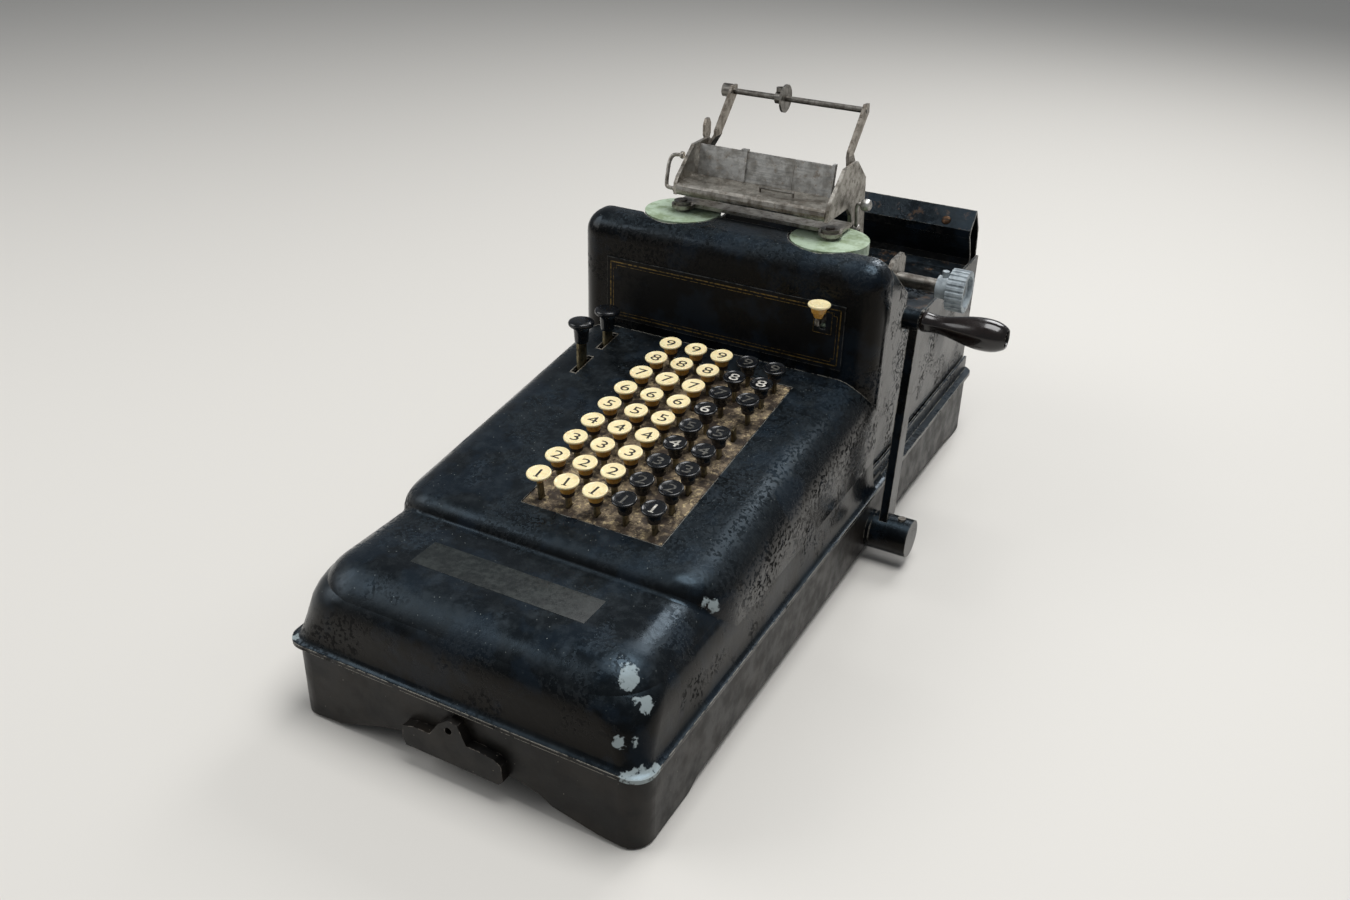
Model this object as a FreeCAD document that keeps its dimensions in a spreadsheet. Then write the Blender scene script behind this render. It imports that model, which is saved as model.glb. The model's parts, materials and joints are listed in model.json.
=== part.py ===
# Key-set adding machine: cover, keyboard, printing carriage, ribbon spools and side crank.
# Drawing frame: X to the right from the body's centre line, Y to the rear from the front edge
# of the rim, Z up from the table. Each node's own Placement then moves it to the row's origin,
# which lies under the middle of the whole machine.
import FreeCAD, Part
import math
import os
import re
import Sketcher

os.makedirs("parts", exist_ok=True)
doc = FreeCAD.newDocument("AddingMachine")
V = FreeCAD.Vector

SIZES = {
    # rim, cover and base; a size given as a formula follows the ones it names
    "rim_width": 236.0,
    "rim_length": 562.0,
    "rim_height": 50.0,
    "sheet": 2.0,
    "rim_thickness": 2.5,
    "rim_corner": 12.5,
    "rim_ledge": 12.0,
    "cover_width": "=rim_width - 12",
    "cover_front": 6.0,
    "hump_height": 101.0,
    "hump_corner": 36.0,
    "hump_round": 30.0,
    "step_y": 86.0,
    "step_round": 12.0,
    "step_cove": 3.0,
    "rim_cove": 5.5,
    "deck_corner": 30.0,
    "deck_round": 26.0,
    "deck_start_y": 95.0,
    "deck_start_z": 110.5,
    "deck_slope": 7.37,
    "upright_y": 310.5,
    "upright_end": 331.0,
    "upright_height": 219.0,
    "upright_corner": 15.0,
    "upright_round": 16.0,
    "base_width": "=rim_width - 5.4",
    "base_end_gap": 2.7,
    "base_wall": 3.0,
    "base_corner": 14.0,
    "base_low": 1.2,
    "floor_top": 23.0,
    "floor_sheet": 3.0,
    "foot_radius": 11.0,
    "foot_x": "=rim_width / 2 - 26",
    "foot_inset": 30.0,
    # keyboard
    "key_first": 25.8,
    "key_pitch": 20.09,
    "column_pitch": 19.05,
    "first_column": -20.3,
    "cap_top": 18.5,
    "cap_radius": 7.5,
    "stem_width": 4.7,
    "stem_thickness": 1.6,
    "stem_low": 54.0,
    "plate_sheet": 1.2,
    "plate_sink": 0.2,
    "guide_depth": 40.0,
    "slot_gap": 0.5,
    # inner frame
    "frame_x": "=rim_width / 2 - 27",
    "frame_sheet": 3.0,
    "tray_top": 164.0,
    "tray_sheet": 2.0,
    "rod_radius": 4.0,
    # crank
    "crank_y": 331.0,
    "crank_z": 20.5,
    "crank_shaft_radius": 8.0,
    "hub_radius": 13.5,
    "hub_start": "=rim_width / 2 + 0.5",
    "hub_end": "=rim_width / 2 + 27.5",
    "arm_start": "=rim_width / 2 + 5",
    "arm_thickness": 6.0,
    "grip_y": 345.0,
    "grip_z": 177.0,
    "grip_start": "=rim_width / 2 + 11.5",
    "grip_end": "=rim_width / 2 + 68",
    "grip_radius": 10.7,
    # ribbon spools
    "spool_middle": 4.2,
    "spool_offset": 55.0,
    "spool_y": 349.0,
    "spool_radius": 26.5,
    "spool_top": 219.0,
    "spool_rim": 8.0,
    "drum_radius": 12.0,
    "spindle_radius": 3.0,
    "strap_sheet": 2.5,
    "ribbon_low": 168.0,
    "ribbon_width": 14.0,
    # platen and carriage
    "platen_y": 400.0,
    "platen_z": 181.0,
    "platen_radius": 17.0,
    "platen_shaft_radius": 5.0,
    "platen_left": -49.5,
    "platen_right": 57.5,
    "knob_start": "=rim_width / 2 + 13",
    "knob_length": 12.0,
    "knob_radius": 14.6,
    "side_left": -53.0,
    "side_right": 61.0,
    "side_sheet": 2.5,
    "rail_top": 162.0,
    "rail_y": 392.0,
    "running_gap": 0.08,
    # rear case
    "panel_x": "=rim_width / 2 - 8.7",
    "panel_sheet": 2.0,
    "panel_start": 331.8,
    "panel_end": 556.0,
    "panel_top": 152.0,
    "rear_sheet": 1.5,
    "rear_deck_z": 146.0,
    "lug_front": -3.0,
    "roll_rod_y": 406.0,
    "roll_rod_z": 291.0,
    "roll_rod_radius": 2.0,
    "shelf_top": 241.0,
}

sheet = doc.addObject("Spreadsheet::Sheet", "Sizes")
for row, (alias, value) in enumerate(SIZES.items(), start=1):
    sheet.set("A%d" % row, alias)
    sheet.set("B%d" % row, str(value))
    sheet.setAlias("B%d" % row, alias)
doc.recompute()


def expr(text):
    """Turns 'cover_width / 2' into an expression that reads the sheet."""
    return re.sub(r"[a-z_][a-z_0-9]*",
                  lambda m: "Sizes." + m.group(0) if m.group(0) in SIZES else m.group(0), str(text))


def value(text):
    """The number that an expression stands for."""
    return float(sheet.evalExpression(expr(text)))


def bind(item, prop, text):
    """Ties one property to an expression of the sheet's sizes."""
    item.setExpression(prop, expr(text))


PLACES = {}


def place(item, x, y, z):
    """Ties an object's position to three expressions."""
    PLACES[item.Name] = (x, y, z)
    for axis, text in zip("xyz", (x, y, z)):
        bind(item, "Placement.Base." + axis, text)
    return item


def add(kind, name):
    """A new document object whose label is its name."""
    item = doc.addObject(kind, name)
    item.Label = name
    return item


def box(name, x, y, z, dx, dy, dz):
    """A block from its low corner and its three lengths."""
    item = add("Part::Box", name)
    for prop, text in zip(("Length", "Width", "Height"), (dx, dy, dz)):
        bind(item, prop, text)
    return place(item, x, y, z)


TURNS = {
    "x": FreeCAD.Rotation(V(0, 1, 0), 90),
    "y": FreeCAD.Rotation(V(1, 0, 0), -90),
    "z": FreeCAD.Rotation(),
}


def rod(name, axis, radius, length, x, y, z):
    """A round bar that starts at a point and runs along one axis."""
    item = add("Part::Cylinder", name)
    item.Placement = FreeCAD.Placement(V(), TURNS[axis])
    bind(item, "Radius", radius)
    bind(item, "Height", length)
    return place(item, x, y, z)


def cone(name, axis, radius_1, radius_2, length, x, y, z):
    """A tapered bar that starts at a point and runs along one axis."""
    item = add("Part::Cone", name)
    item.Placement = FreeCAD.Placement(V(), TURNS[axis])
    bind(item, "Radius1", radius_1)
    bind(item, "Radius2", radius_2)
    bind(item, "Height", length)
    return place(item, x, y, z)


def fuse(name, items):
    """Several solids made into one."""
    item = add("Part::MultiFuse", name)
    item.Shapes = items
    return item


def group(name, items):
    """Several solids kept apart in one object."""
    item = add("Part::Compound", name)
    item.Links = items
    return item


def cut(name, base, tools):
    """A solid less one or more others."""
    item = add("Part::Cut", name)
    item.Base = base
    item.Tool = tools[0] if len(tools) == 1 else group(name + "_tools", tools)
    return item


def common(name, first, second):
    """What two solids share."""
    item = add("Part::Common", name)
    item.Base = first
    item.Tool = second
    return item


def body(name):
    """An empty PartDesign body."""
    return add("PartDesign::Body", name)


def sketch(owner, name, plane, offset="0"):
    """A sketch on one of its body's origin planes, moved along the plane's normal."""
    item = owner.newObject("Sketcher::SketchObject", name)
    item.Label = name
    flat = [part for part in owner.Origin.OriginFeatures if part.Role == plane + "_Plane"][0]
    item.AttachmentSupport = [(flat, "")]
    item.MapMode = "FlatFace"
    bind(item, "AttachmentOffset.Base.z", offset)
    return item


def pin_point(item, edge, end, x, y):
    """Holds one end of a sketch edge at two expressions measured from the origin."""
    for kind, text in (("DistanceX", x), ("DistanceY", y)):
        index = item.addConstraint(Sketcher.Constraint(kind, -1, 1, edge, end, value(text)))
        item.setExpression("Constraints[%d]" % index, expr(text))


def outline(item, points):
    """Draws a closed polygon whose corners are pairs of expressions."""
    first = item.GeometryCount
    spots = [V(value(x), value(y), 0) for x, y in points]
    total = len(points)
    for index in range(total):
        item.addGeometry(Part.LineSegment(spots[index], spots[(index + 1) % total]), False)
    for index in range(total):
        item.addConstraint(Sketcher.Constraint("Coincident", first + index, 2,
                                               first + (index + 1) % total, 1))
    for index, (x, y) in enumerate(points):
        pin_point(item, first + index, 1, x, y)


def circle(item, x, y, radius):
    """Draws a circle whose centre and radius are expressions."""
    index = item.addGeometry(Part.Circle(V(value(x), value(y), 0), V(0, 0, 1), value(radius)), False)
    pin_point(item, index, 3, x, y)
    held = item.addConstraint(Sketcher.Constraint("Radius", index, value(radius)))
    item.setExpression("Constraints[%d]" % held, expr(radius))


def pad(owner, profile, length):
    """Pads a sketch along its normal."""
    item = owner.newObject("PartDesign::Pad", profile.Name + "_pad")
    item.Profile = profile
    bind(item, "Length", length)
    profile.Visibility = False
    return item


def plate(name, plane, offset, thickness, points, holes=()):
    """A flat piece: an outline with round holes, padded from a plane."""
    owner = body(name)
    profile = sketch(owner, name + "_outline", plane, offset)
    outline(profile, points)
    for x, y, radius in holes:
        circle(profile, x, y, radius)
    pad(owner, profile, thickness)
    return owner


def turned(name, plane, points, axis):
    """A turned piece: half an outline revolved round a sketch axis, H_Axis or V_Axis."""
    owner = body(name)
    profile = sketch(owner, name + "_profile", plane)
    outline(profile, points)
    item = owner.newObject("PartDesign::Revolution", name + "_turn")
    item.Profile = profile
    item.ReferenceAxis = (profile, [axis])
    item.Angle = 360
    return owner


def rounded(name, base, choose):
    """Rounds the edges for which choose(edge) gives a pair of radii."""
    doc.recompute()
    item = add("Part::Fillet", name)
    item.Base = base
    picked = []
    for index, edge in enumerate(base.Shape.Edges, start=1):
        radii = choose(edge)
        if radii:
            picked.append((index, radii[0], radii[1]))
    item.Edges = picked
    return item


NODES = {}


def node(name, item):
    """Lists an object as one of the machine's pieces and moves it to the row's origin."""
    item.Label = name
    x, y, z = PLACES.get(item.Name, ("0", "0", "0"))
    place(item, "%s - (grip_end - rim_width / 2) / 2" % x, "%s - (rim_length + lug_front) / 2" % y, z)
    NODES[name] = item
    return item


def middle(edge):
    """The point half-way along an edge."""
    return edge.valueAt((edge.FirstParameter + edge.LastParameter) / 2)


def upright_edge(edge):
    """True for a straight edge that runs along Z."""
    bounds = edge.BoundBox
    return bounds.XLength < 1e-4 and bounds.YLength < 1e-4


def rounded_block(name, inset, front, back, low, top, corner, side_round, front_round, slope="0"):
    """A block with two rounded front corners and a rounded top, all set in by one distance.

    The top may slope up to the rear; its height is given at the front.
    """
    start = "%s + %s" % (front, inset)
    crest = "%s + %s * (%s) - %s * sqrt(1 + (%s) ^ 2)" % (top, inset, slope, inset, slope)
    rear_crest = "%s + (%s - %s - %s) * %s" % (crest, back, front, inset, slope)
    block = plate(name + "_block", "YZ", "-(cover_width / 2 - %s)" % inset,
                  "cover_width - 2 * %s" % inset,
                  [(start, low), (start, crest), (back, rear_crest), (back, low)])
    corner = value(corner) - value(inset)
    side_round = value(side_round) - value(inset)
    front_round = value(front_round) - value(inset)
    front_y = value(start)
    back_y = value(back)
    cornered = rounded(name + "_corners", block,
                       lambda edge: (corner, corner)
                       if upright_edge(edge) and edge.BoundBox.YMin < front_y + 1 else None)

    def top_edge(edge):
        bounds = edge.BoundBox
        if bounds.ZMin < value(crest) - 1 or bounds.YMin > back_y - 1:
            return None
        if bounds.YLength < 1e-3:
            return front_round, front_round
        if bounds.XLength < 1e-3:
            return side_round, side_round
        ahead = edge.valueAt(edge.FirstParameter).y < edge.valueAt(edge.LastParameter).y
        if edge.Orientation == "Forward":
            ahead = not ahead
        return (front_round, side_round) if ahead else (side_round, front_round)

    return rounded(name, cornered, top_edge)


def cover_solid(name, inset):
    """The hump, the sloping deck and the upright as one solid, set in by one distance."""
    low = "rim_height"
    hump = rounded_block(name + "_hump", inset, "cover_front", "step_y + 60", low, "hump_height",
                         "hump_corner", "hump_round", "hump_round")
    deck = rounded_block(name + "_deck", inset, "step_y", "upright_end", low,
                         "deck_start_z + (step_y - deck_start_y) * tan(deck_slope)",
                         "deck_corner", "deck_round", "step_round", "tan(deck_slope)")
    head = rounded_block(name + "_head", inset, "upright_y", "spool_y", low, "upright_height",
                         "upright_corner", "upright_round", "upright_round")
    return fuse(name, [hump, deck, head])


def rim_block(name, side, end, low, height, corner):
    """A rounded rectangle as wide and long as the rim, set in at its sides and at its ends."""
    block = plate(name + "_block", "XY", low, height,
                  [("-(rim_width / 2 - (%s))" % side, end),
                   ("rim_width / 2 - (%s)" % side, end),
                   ("rim_width / 2 - (%s)" % side, "rim_length - (%s)" % end),
                   ("-(rim_width / 2 - (%s))" % side, "rim_length - (%s)" % end)])
    radius = value(corner)
    return rounded(name, block, lambda edge: (radius, radius) if upright_edge(edge) else None)


def slope_frame(item, x, along, above):
    """Sets an object on the deck's slope: along it from the deck's start, and above it."""
    item.Placement = FreeCAD.Placement(V(), FreeCAD.Rotation(V(1, 0, 0), value("deck_slope")))
    bind(item, "Placement.Rotation.Angle", "deck_slope * 1 deg")
    return place(item, x,
                 "deck_start_y + (%s) * cos(deck_slope * 1 deg) - (%s) * sin(deck_slope * 1 deg)"
                 % (along, above),
                 "deck_start_z + (%s) * sin(deck_slope * 1 deg) + (%s) * cos(deck_slope * 1 deg)"
                 % (along, above))


KEYS = 9
CREAM_COLUMNS = 3
BLACK_COLUMNS = 2
MISSING_CAP_ROW = 6
LAST_COLUMN = "first_column + %d * column_pitch" % (CREAM_COLUMNS + BLACK_COLUMNS - 1)
OPENING_SIDE = "8.7"
OPENING_FRONT = "17"
OPENING_REAR = "196"
LEVER_X = "-(cover_width / 2 - 35)"
FRONT_LEVER_Y = "256"
REAR_LEVER_Y = "290"
LEVER_SLOT = "22"
ERROR_X = "74"
ERROR_Z = "180.3"
RIM_TOP = "rim_height + rim_thickness"


def rim_hollow(name):
    """The space inside the rim."""
    side = "(rim_width - cover_width) / 2 + rim_ledge - cover_front"
    return rim_block(name, side, "rim_ledge", "rim_height - 1", "rim_thickness + 2", "rim_corner")


def level_with(edge, height):
    """True for an edge that lies flat at this height."""
    return abs(edge.BoundBox.ZMin - height) < 1e-3 and abs(edge.BoundBox.ZMax - height) < 1e-3


def rim_cove(edge):
    """Radii for the edges where the cover's walls meet the rim."""
    spot = middle(edge)
    on_wall = abs(spot.x) < value("cover_width / 2") + 0.5 and 1 < spot.y < value("spool_y") - 1
    if on_wall and level_with(edge, value(RIM_TOP)):
        return value("rim_cove"), value("rim_cove")
    return None


def step_cove(edge):
    """Radii for the edge where the hump's top meets the step."""
    near = abs(middle(edge).y - value("step_y")) < 1 and edge.BoundBox.XLength > 20
    if near and level_with(edge, value("hump_height")):
        return value("step_cove"), value("step_cove")
    return None


def main_cover():
    """The pressed cover with its rim, and every opening cut through it."""
    solid = fuse("cover_solid", [cover_solid("cover_outside", "0"),
                                 rim_block("rim_solid", "0", "0", "rim_height", "rim_thickness",
                                           "rim_corner")])
    solid.Refine = True
    flared = rounded("cover_flare", solid, rim_cove)
    stepped = rounded("cover_step", flared, step_cove)
    shell = cut("cover_shell", stepped, [cover_solid("cover_inside", "sheet"), rim_hollow("rim_hollow")])
    rim = cut("cover_rim", rim_block("rim_outside", "0", "0", "rim_height", "rim_thickness",
                                     "rim_corner"),
              [rim_hollow("rim_inside")])
    rail = cut("cover_rail",
               box("rail_outside", "-(cover_width / 2)", "upright_end - 20", "rim_height",
                   "cover_width", "rim_length - upright_end + 14", "14"),
               [box("rail_inside", "-(cover_width / 2 - sheet)", "upright_end - 22", "rim_height - 1",
                    "cover_width - 2 * sheet", "rim_length - upright_end + 40", "16")])
    whole = fuse("cover_whole", [shell, rim, rail])
    opening = box("keyboard_opening", "0", "0", "0",
                  LAST_COLUMN + " - first_column + 2 * " + OPENING_SIDE,
                  "%s - %s" % (OPENING_REAR, OPENING_FRONT), "20")
    slope_frame(opening, "first_column - " + OPENING_SIDE, OPENING_FRONT, "-10")
    tools = [opening]
    for name, y in (("front", FRONT_LEVER_Y), ("rear", REAR_LEVER_Y)):
        tools.append(box(name + "_lever_slot", LEVER_X + " - 2", "%s - %s / 2" % (y, LEVER_SLOT), "100",
                         "4", LEVER_SLOT, "60"))
    tools.append(box("error_slot", ERROR_X + " - 2", "upright_y - 5", ERROR_Z + " - 8.5",
                     "4", "10", "12"))
    for sign, side in ((-1, "left"), (1, "right")):
        centre = "spool_middle + %d * spool_offset" % sign
        tools.append(rod(side + "_spool_gap", "z", "spool_radius + 1.5", "60", centre, "spool_y", "190"))
        start = centre if sign > 0 else "-(cover_width / 2) - 1"
        width = ("cover_width / 2 + 1 - (%s)" if sign > 0 else "cover_width / 2 + 1 + (%s)") % centre
        tools.append(box(side + "_rear_gap", start, "upright_end", "rim_height + 15",
                         width, "40", "200"))
    tools.append(box("middle_rear_gap", "-(cover_width / 2) - 1", "upright_end", "rim_height + 15",
                     "cover_width + 2", "40", "upright_height - rim_height - 30"))
    return node("main_cover", cut("main_cover", whole, tools))


def base_pan():
    """The pan under the rim: four walls with a shallow arch each, and a floor."""
    side = "(rim_width - base_width) / 2"
    end = "base_end_gap"
    outside = rim_block("pan_outside", side, end, "base_low", "rim_height - base_low", "base_corner")
    side += " + base_wall"
    end += " + base_wall"
    corner = "base_corner - base_wall"
    inside = rim_block("pan_inside", side, end, "floor_top", "rim_height", corner)
    below = rim_block("pan_below", side, end, "base_low - 1",
                      "floor_top - floor_sheet - base_low + 1", corner)
    front_arch = plate("front_arch", "XZ", "-(rim_length + 10)", "rim_length + 20",
                       [("-108", "-5"), ("-104", "1.7"), ("-84", "3"), ("-52", "14.5"), ("-36", "18.2"),
                        ("39", "18"), ("54", "14"), ("61", "9.3"), ("88", "3.5"), ("106", "1.7"),
                        ("110", "-5")])
    side_arch = plate("side_arch", "YZ", "-rim_width", "2 * rim_width",
                      [("50", "-5"), ("56", "1.5"), ("66", "5.6"), ("143", "7.3"), ("315", "8"),
                       ("389", "10.7"), ("510", "6.5"), ("535", "2"), ("540", "-5")])
    shaft_gap = box("shaft_gap", "-(frame_x + 10)", "crank_y - 26", "0", "2 * frame_x + 20", "52", "30")
    shaft_hole = rod("shaft_hole", "x", "crank_shaft_radius + 4", "40", "base_width / 2 - 20",
                     "crank_y", "crank_z")
    pan = cut("base_pan", outside, [inside, below, front_arch, side_arch, shaft_gap, shaft_hole])
    return node("base_pan", pan)


def feet():
    """Four rubber feet under the floor, each with a hollow for its screw."""
    items = []
    for index in range(4):
        x = "foot_x" if index % 2 else "-foot_x"
        y = "rim_length - foot_inset" if index > 1 else "foot_inset"
        height = "floor_top - floor_sheet"
        name = "foot_%d" % (index + 1)
        foot = cone(name + "_block", "z", "foot_radius - 1", "foot_radius", height, x, y, "0")
        hollow = rod(name + "_hollow", "z", "4", "6", x, y, "-1")
        items.append(cut(name, foot, [hollow]))
    return node("rubber_feet", group("rubber_feet", items))


def front_lug():
    """The plate with a hole on the front of the pan."""
    points = [("-32", "29"), ("-33", "20.5"), ("-31", "15.5"), ("31", "15.2"), ("34", "18.5"),
              ("33", "28.7"), ("29", "31.6"), ("18", "33"), ("11", "33"), ("8.4", "38.4"),
              ("5.8", "44.5"), ("0", "46"), ("-7.3", "40.5"), ("-13.6", "31"), ("-24.5", "31")]
    owner = plate("front_lug", "XZ", "-base_end_gap", "base_end_gap - lug_front", points,
                  [("-0.5", "38.5", "2.3")])
    return node("front_lug", owner)


def rear_case():
    """The two side panels, the curved sheet between them and the screws that hold it."""
    outline_points = [("panel_start", RIM_TOP), ("panel_start", "213"), ("373", "183"), ("376", "panel_top"),
                      ("panel_end", "panel_top"), ("panel_end", RIM_TOP)]
    panels = []
    for side, start in (("left", "-panel_x"), ("right", "panel_x - panel_sheet")):
        panels.append(plate(side + "_panel", "YZ", start, "panel_sheet", outline_points))
    node("rear_side_panels", group("rear_side_panels", panels))
    back = "panel_end"
    deck = "rear_deck_z"
    skin = "rear_sheet"
    outer = [("416", deck), ("508", deck), ("520", deck + " - 0.4"), ("530", deck), ("536", deck + " + 3"),
             ("537.6", deck + " + 8"), ("536.6", deck + " + 12"), ("532.7", deck + " + 20"),
             ("528", deck + " + 28"), ("528", deck + " + 34"), ("540", deck + " + 47"),
             (back + " - 4", deck + " + 29"), (back, deck + " + 4"), (back, RIM_TOP)]
    inner = [(back + " - " + skin, RIM_TOP), (back + " - " + skin, deck + " + 3.8"),
             (back + " - 4 - " + skin, deck + " + 28.4"), ("539.8", deck + " + 44.8"),
             ("529.6", deck + " + 33.2"), ("529.6", deck + " + 28.5"), ("534.2", deck + " + 20.5"),
             ("538.1", deck + " + 12.4"), ("539.2", deck + " + 7.6"), ("537.2", deck + " + 1.9"),
             ("530.4", deck + " - " + skin), ("520", deck + " - 0.4 - " + skin),
             ("508", deck + " - " + skin), ("416", deck + " - " + skin)]
    half = "panel_x - panel_sheet"
    sheet_body = plate("rear_sheet_body", "YZ", "-(%s)" % half, "2 * (%s)" % half, outer + inner)
    node("rear_cover", sheet_body)


main_cover()
base_pan()
feet()
front_lug()
rear_case()


def slope_y(along, above):
    """The Y of a point given on the deck's slope."""
    return ("(deck_start_y + (%s) * cos(deck_slope * 1 deg) - (%s) * sin(deck_slope * 1 deg))"
            % (along, above))


def slope_z(along, above):
    """The Z of a point given on the deck's slope."""
    return ("(deck_start_z + (%s) * sin(deck_slope * 1 deg) + (%s) * cos(deck_slope * 1 deg))"
            % (along, above))


PLATE_SIDE = "12.5"
GUIDE_FRONT = "13"
GUIDE_REAR = "200"
STRIP_TOP = "-(stem_low + 6)"
STRIP_DEPTH = "10"
STRIP_SHEET = "2"
ROD_ALONG = ("24", "192")
ROD_ABOVE = STRIP_TOP + " - " + STRIP_DEPTH + " - rod_radius"


def column_x(column):
    """The X of one column of keys."""
    return "first_column + %d * column_pitch" % column


def row_along(row):
    """How far up the slope one row of keys lies; the first row is number 1."""
    return "key_first + %d * key_pitch" % (row - 1)


def key_slots(name, low, depth):
    """One slot for each key's stem, through a plate of this depth above a low height."""
    slots = []
    for column in range(CREAM_COLUMNS + BLACK_COLUMNS):
        for row in range(1, KEYS + 1):
            slot = box("%s_slot_%d_%d" % (name, column, row), "0", "0", "0",
                       "stem_thickness + 2 * slot_gap", "stem_width + 2 * slot_gap", depth + " + 2")
            slots.append(slope_frame(slot, column_x(column) + " - stem_thickness / 2 - slot_gap",
                                     row_along(row) + " - stem_width / 2 - slot_gap", low + " - 1"))
    return slots


def keyboard():
    """The plate in the keyboard's opening, the guide plate below it and the stop strips."""
    low = "-sheet - plate_sheet"
    flange = box("keyboard_flange", "0", "0", "0",
                 LAST_COLUMN + " - first_column + 2 * " + PLATE_SIDE,
                 "%s - %s" % (GUIDE_REAR, GUIDE_FRONT), "plate_sheet")
    slope_frame(flange, "first_column - " + PLATE_SIDE, GUIDE_FRONT, low)
    depth = "(sheet + plate_sheet - plate_sink)"
    land = box("keyboard_land", "0", "0", "0",
               "%s - first_column + 2 * (%s - slot_gap)" % (LAST_COLUMN, OPENING_SIDE),
               "%s - %s - 2 * slot_gap" % (OPENING_REAR, OPENING_FRONT), depth)
    slope_frame(land, "first_column - %s + slot_gap" % OPENING_SIDE, OPENING_FRONT + " + slot_gap", low)
    node("keyboard_plate", cut("keyboard_plate", fuse("keyboard_block", [flange, land]),
                               key_slots("top", low, depth)))
    guide = box("guide_sheet", "0", "0", "0", "2 * frame_x - frame_sheet",
                "%s - %s" % (GUIDE_REAR, GUIDE_FRONT), "plate_sheet")
    slope_frame(guide, "-(frame_x - frame_sheet / 2)", GUIDE_FRONT, "-guide_depth")
    slots = key_slots("guide", "-guide_depth", "plate_sheet")
    for name, y in (("front", FRONT_LEVER_Y), ("rear", REAR_LEVER_Y)):
        slots.append(box(name + "_guide_slot", LEVER_X + " - 1.5", y + " - 6", "60", "3", "12", "60"))
    node("key_guide_plate", cut("key_guide_plate", guide, slots))
    strips = []
    for column in range(CREAM_COLUMNS + BLACK_COLUMNS):
        strip = box("stop_strip_%d" % (column + 1), "0", "0", "0", STRIP_SHEET,
                    "%s - %s" % (GUIDE_REAR, GUIDE_FRONT), STRIP_DEPTH)
        slope_frame(strip, column_x(column) + " - " + STRIP_SHEET + " / 2", GUIDE_FRONT,
                    STRIP_TOP + " - " + STRIP_DEPTH)
        strips.append(strip)
    node("key_stop_strips", group("key_stop_strips", strips))


CAP_PROFILE = [("0", "-10"), ("4.1", "-10"), ("4.3", "-8"), ("4.7", "-5"), ("5", "-3.3"),
               ("6.2", "-2.4"), ("cap_radius", "-1.2"), ("cap_radius - 0.4", "0"), ("cap_radius - 1.3", "0"),
               ("cap_radius - 3", "-0.5"), ("0", "-0.8")]
NECK_LENGTH = "10"


def key_cap(name):
    """A turned key cap with a dished top; its top edge is at height zero."""
    return turned(name, "XZ", CAP_PROFILE, "V_Axis")


def key_row(name, row, first, columns, bare=()):
    """One row of keys of one colour; every key is a cap on its own flat stem."""
    items = []
    for column in range(first, first + columns):
        label = "%s_%d" % (name, column)
        long_stem = "cap_top - " + NECK_LENGTH + " + stem_low"
        stem = box(label + "_stem", "0", "0", "0", "stem_thickness", "stem_width", long_stem)
        items.append(slope_frame(stem, column_x(column) + " - stem_thickness / 2",
                                 row_along(row) + " - stem_width / 2", "-stem_low"))
        if column not in bare:
            items.append(slope_frame(key_cap(label + "_cap"), column_x(column), row_along(row), "cap_top"))
    return node(name, group(name, items))


def keys():
    """Nine rows of cream keys and nine rows of black keys."""
    for row in range(1, KEYS + 1):
        bare = (CREAM_COLUMNS + BLACK_COLUMNS - 1,) if row == MISSING_CAP_ROW else ()
        key_row("cream_key_%d" % row, row, 0, CREAM_COLUMNS)
        key_row("black_key_%d" % row, row, CREAM_COLUMNS, BLACK_COLUMNS, bare)


LEVER_PROFILE = [("0", "-16"), ("4.6", "-16"), ("5", "-11"), ("5.3", "-6.4"), ("7.6", "-4.6"),
                 ("9", "-3.2"), ("9", "-1.6"), ("8.1", "0"), ("0", "0.6")]
LEVER_LOW = "84"


def function_keys():
    """The two function keys at the left and the one on the upright."""
    for name, y, top in (("total_key", "256", "164"), ("subtotal_key", "290", "160.4")):
        stem = box(name + "_stem", LEVER_X + " - 1", y + " - 5", LEVER_LOW, "2", "10",
                   "%s - 16 - %s" % (top, LEVER_LOW))
        cap = turned(name + "_cap", "XZ", LEVER_PROFILE, "V_Axis")
        place(cap, LEVER_X, y, top)
        node(name, group(name, [stem, cap]))
    arm = box("error_arm", ERROR_X + " - 1.5", "301", ERROR_Z + " - 2.5", "3", "upright_y + 16 - 301", "5")
    stalk = box("error_stalk", ERROR_X + " - 1.5", "298.5", ERROR_Z + " - 2.5", "3", "5",
                "193 - %s - %s + 2.5" % (NECK_LENGTH, ERROR_Z))
    cap = place(key_cap("error_cap"), ERROR_X, "301", "193")
    node("error_key", group("error_key", [fuse("error_lever", [arm, stalk]), cap]))


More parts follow.
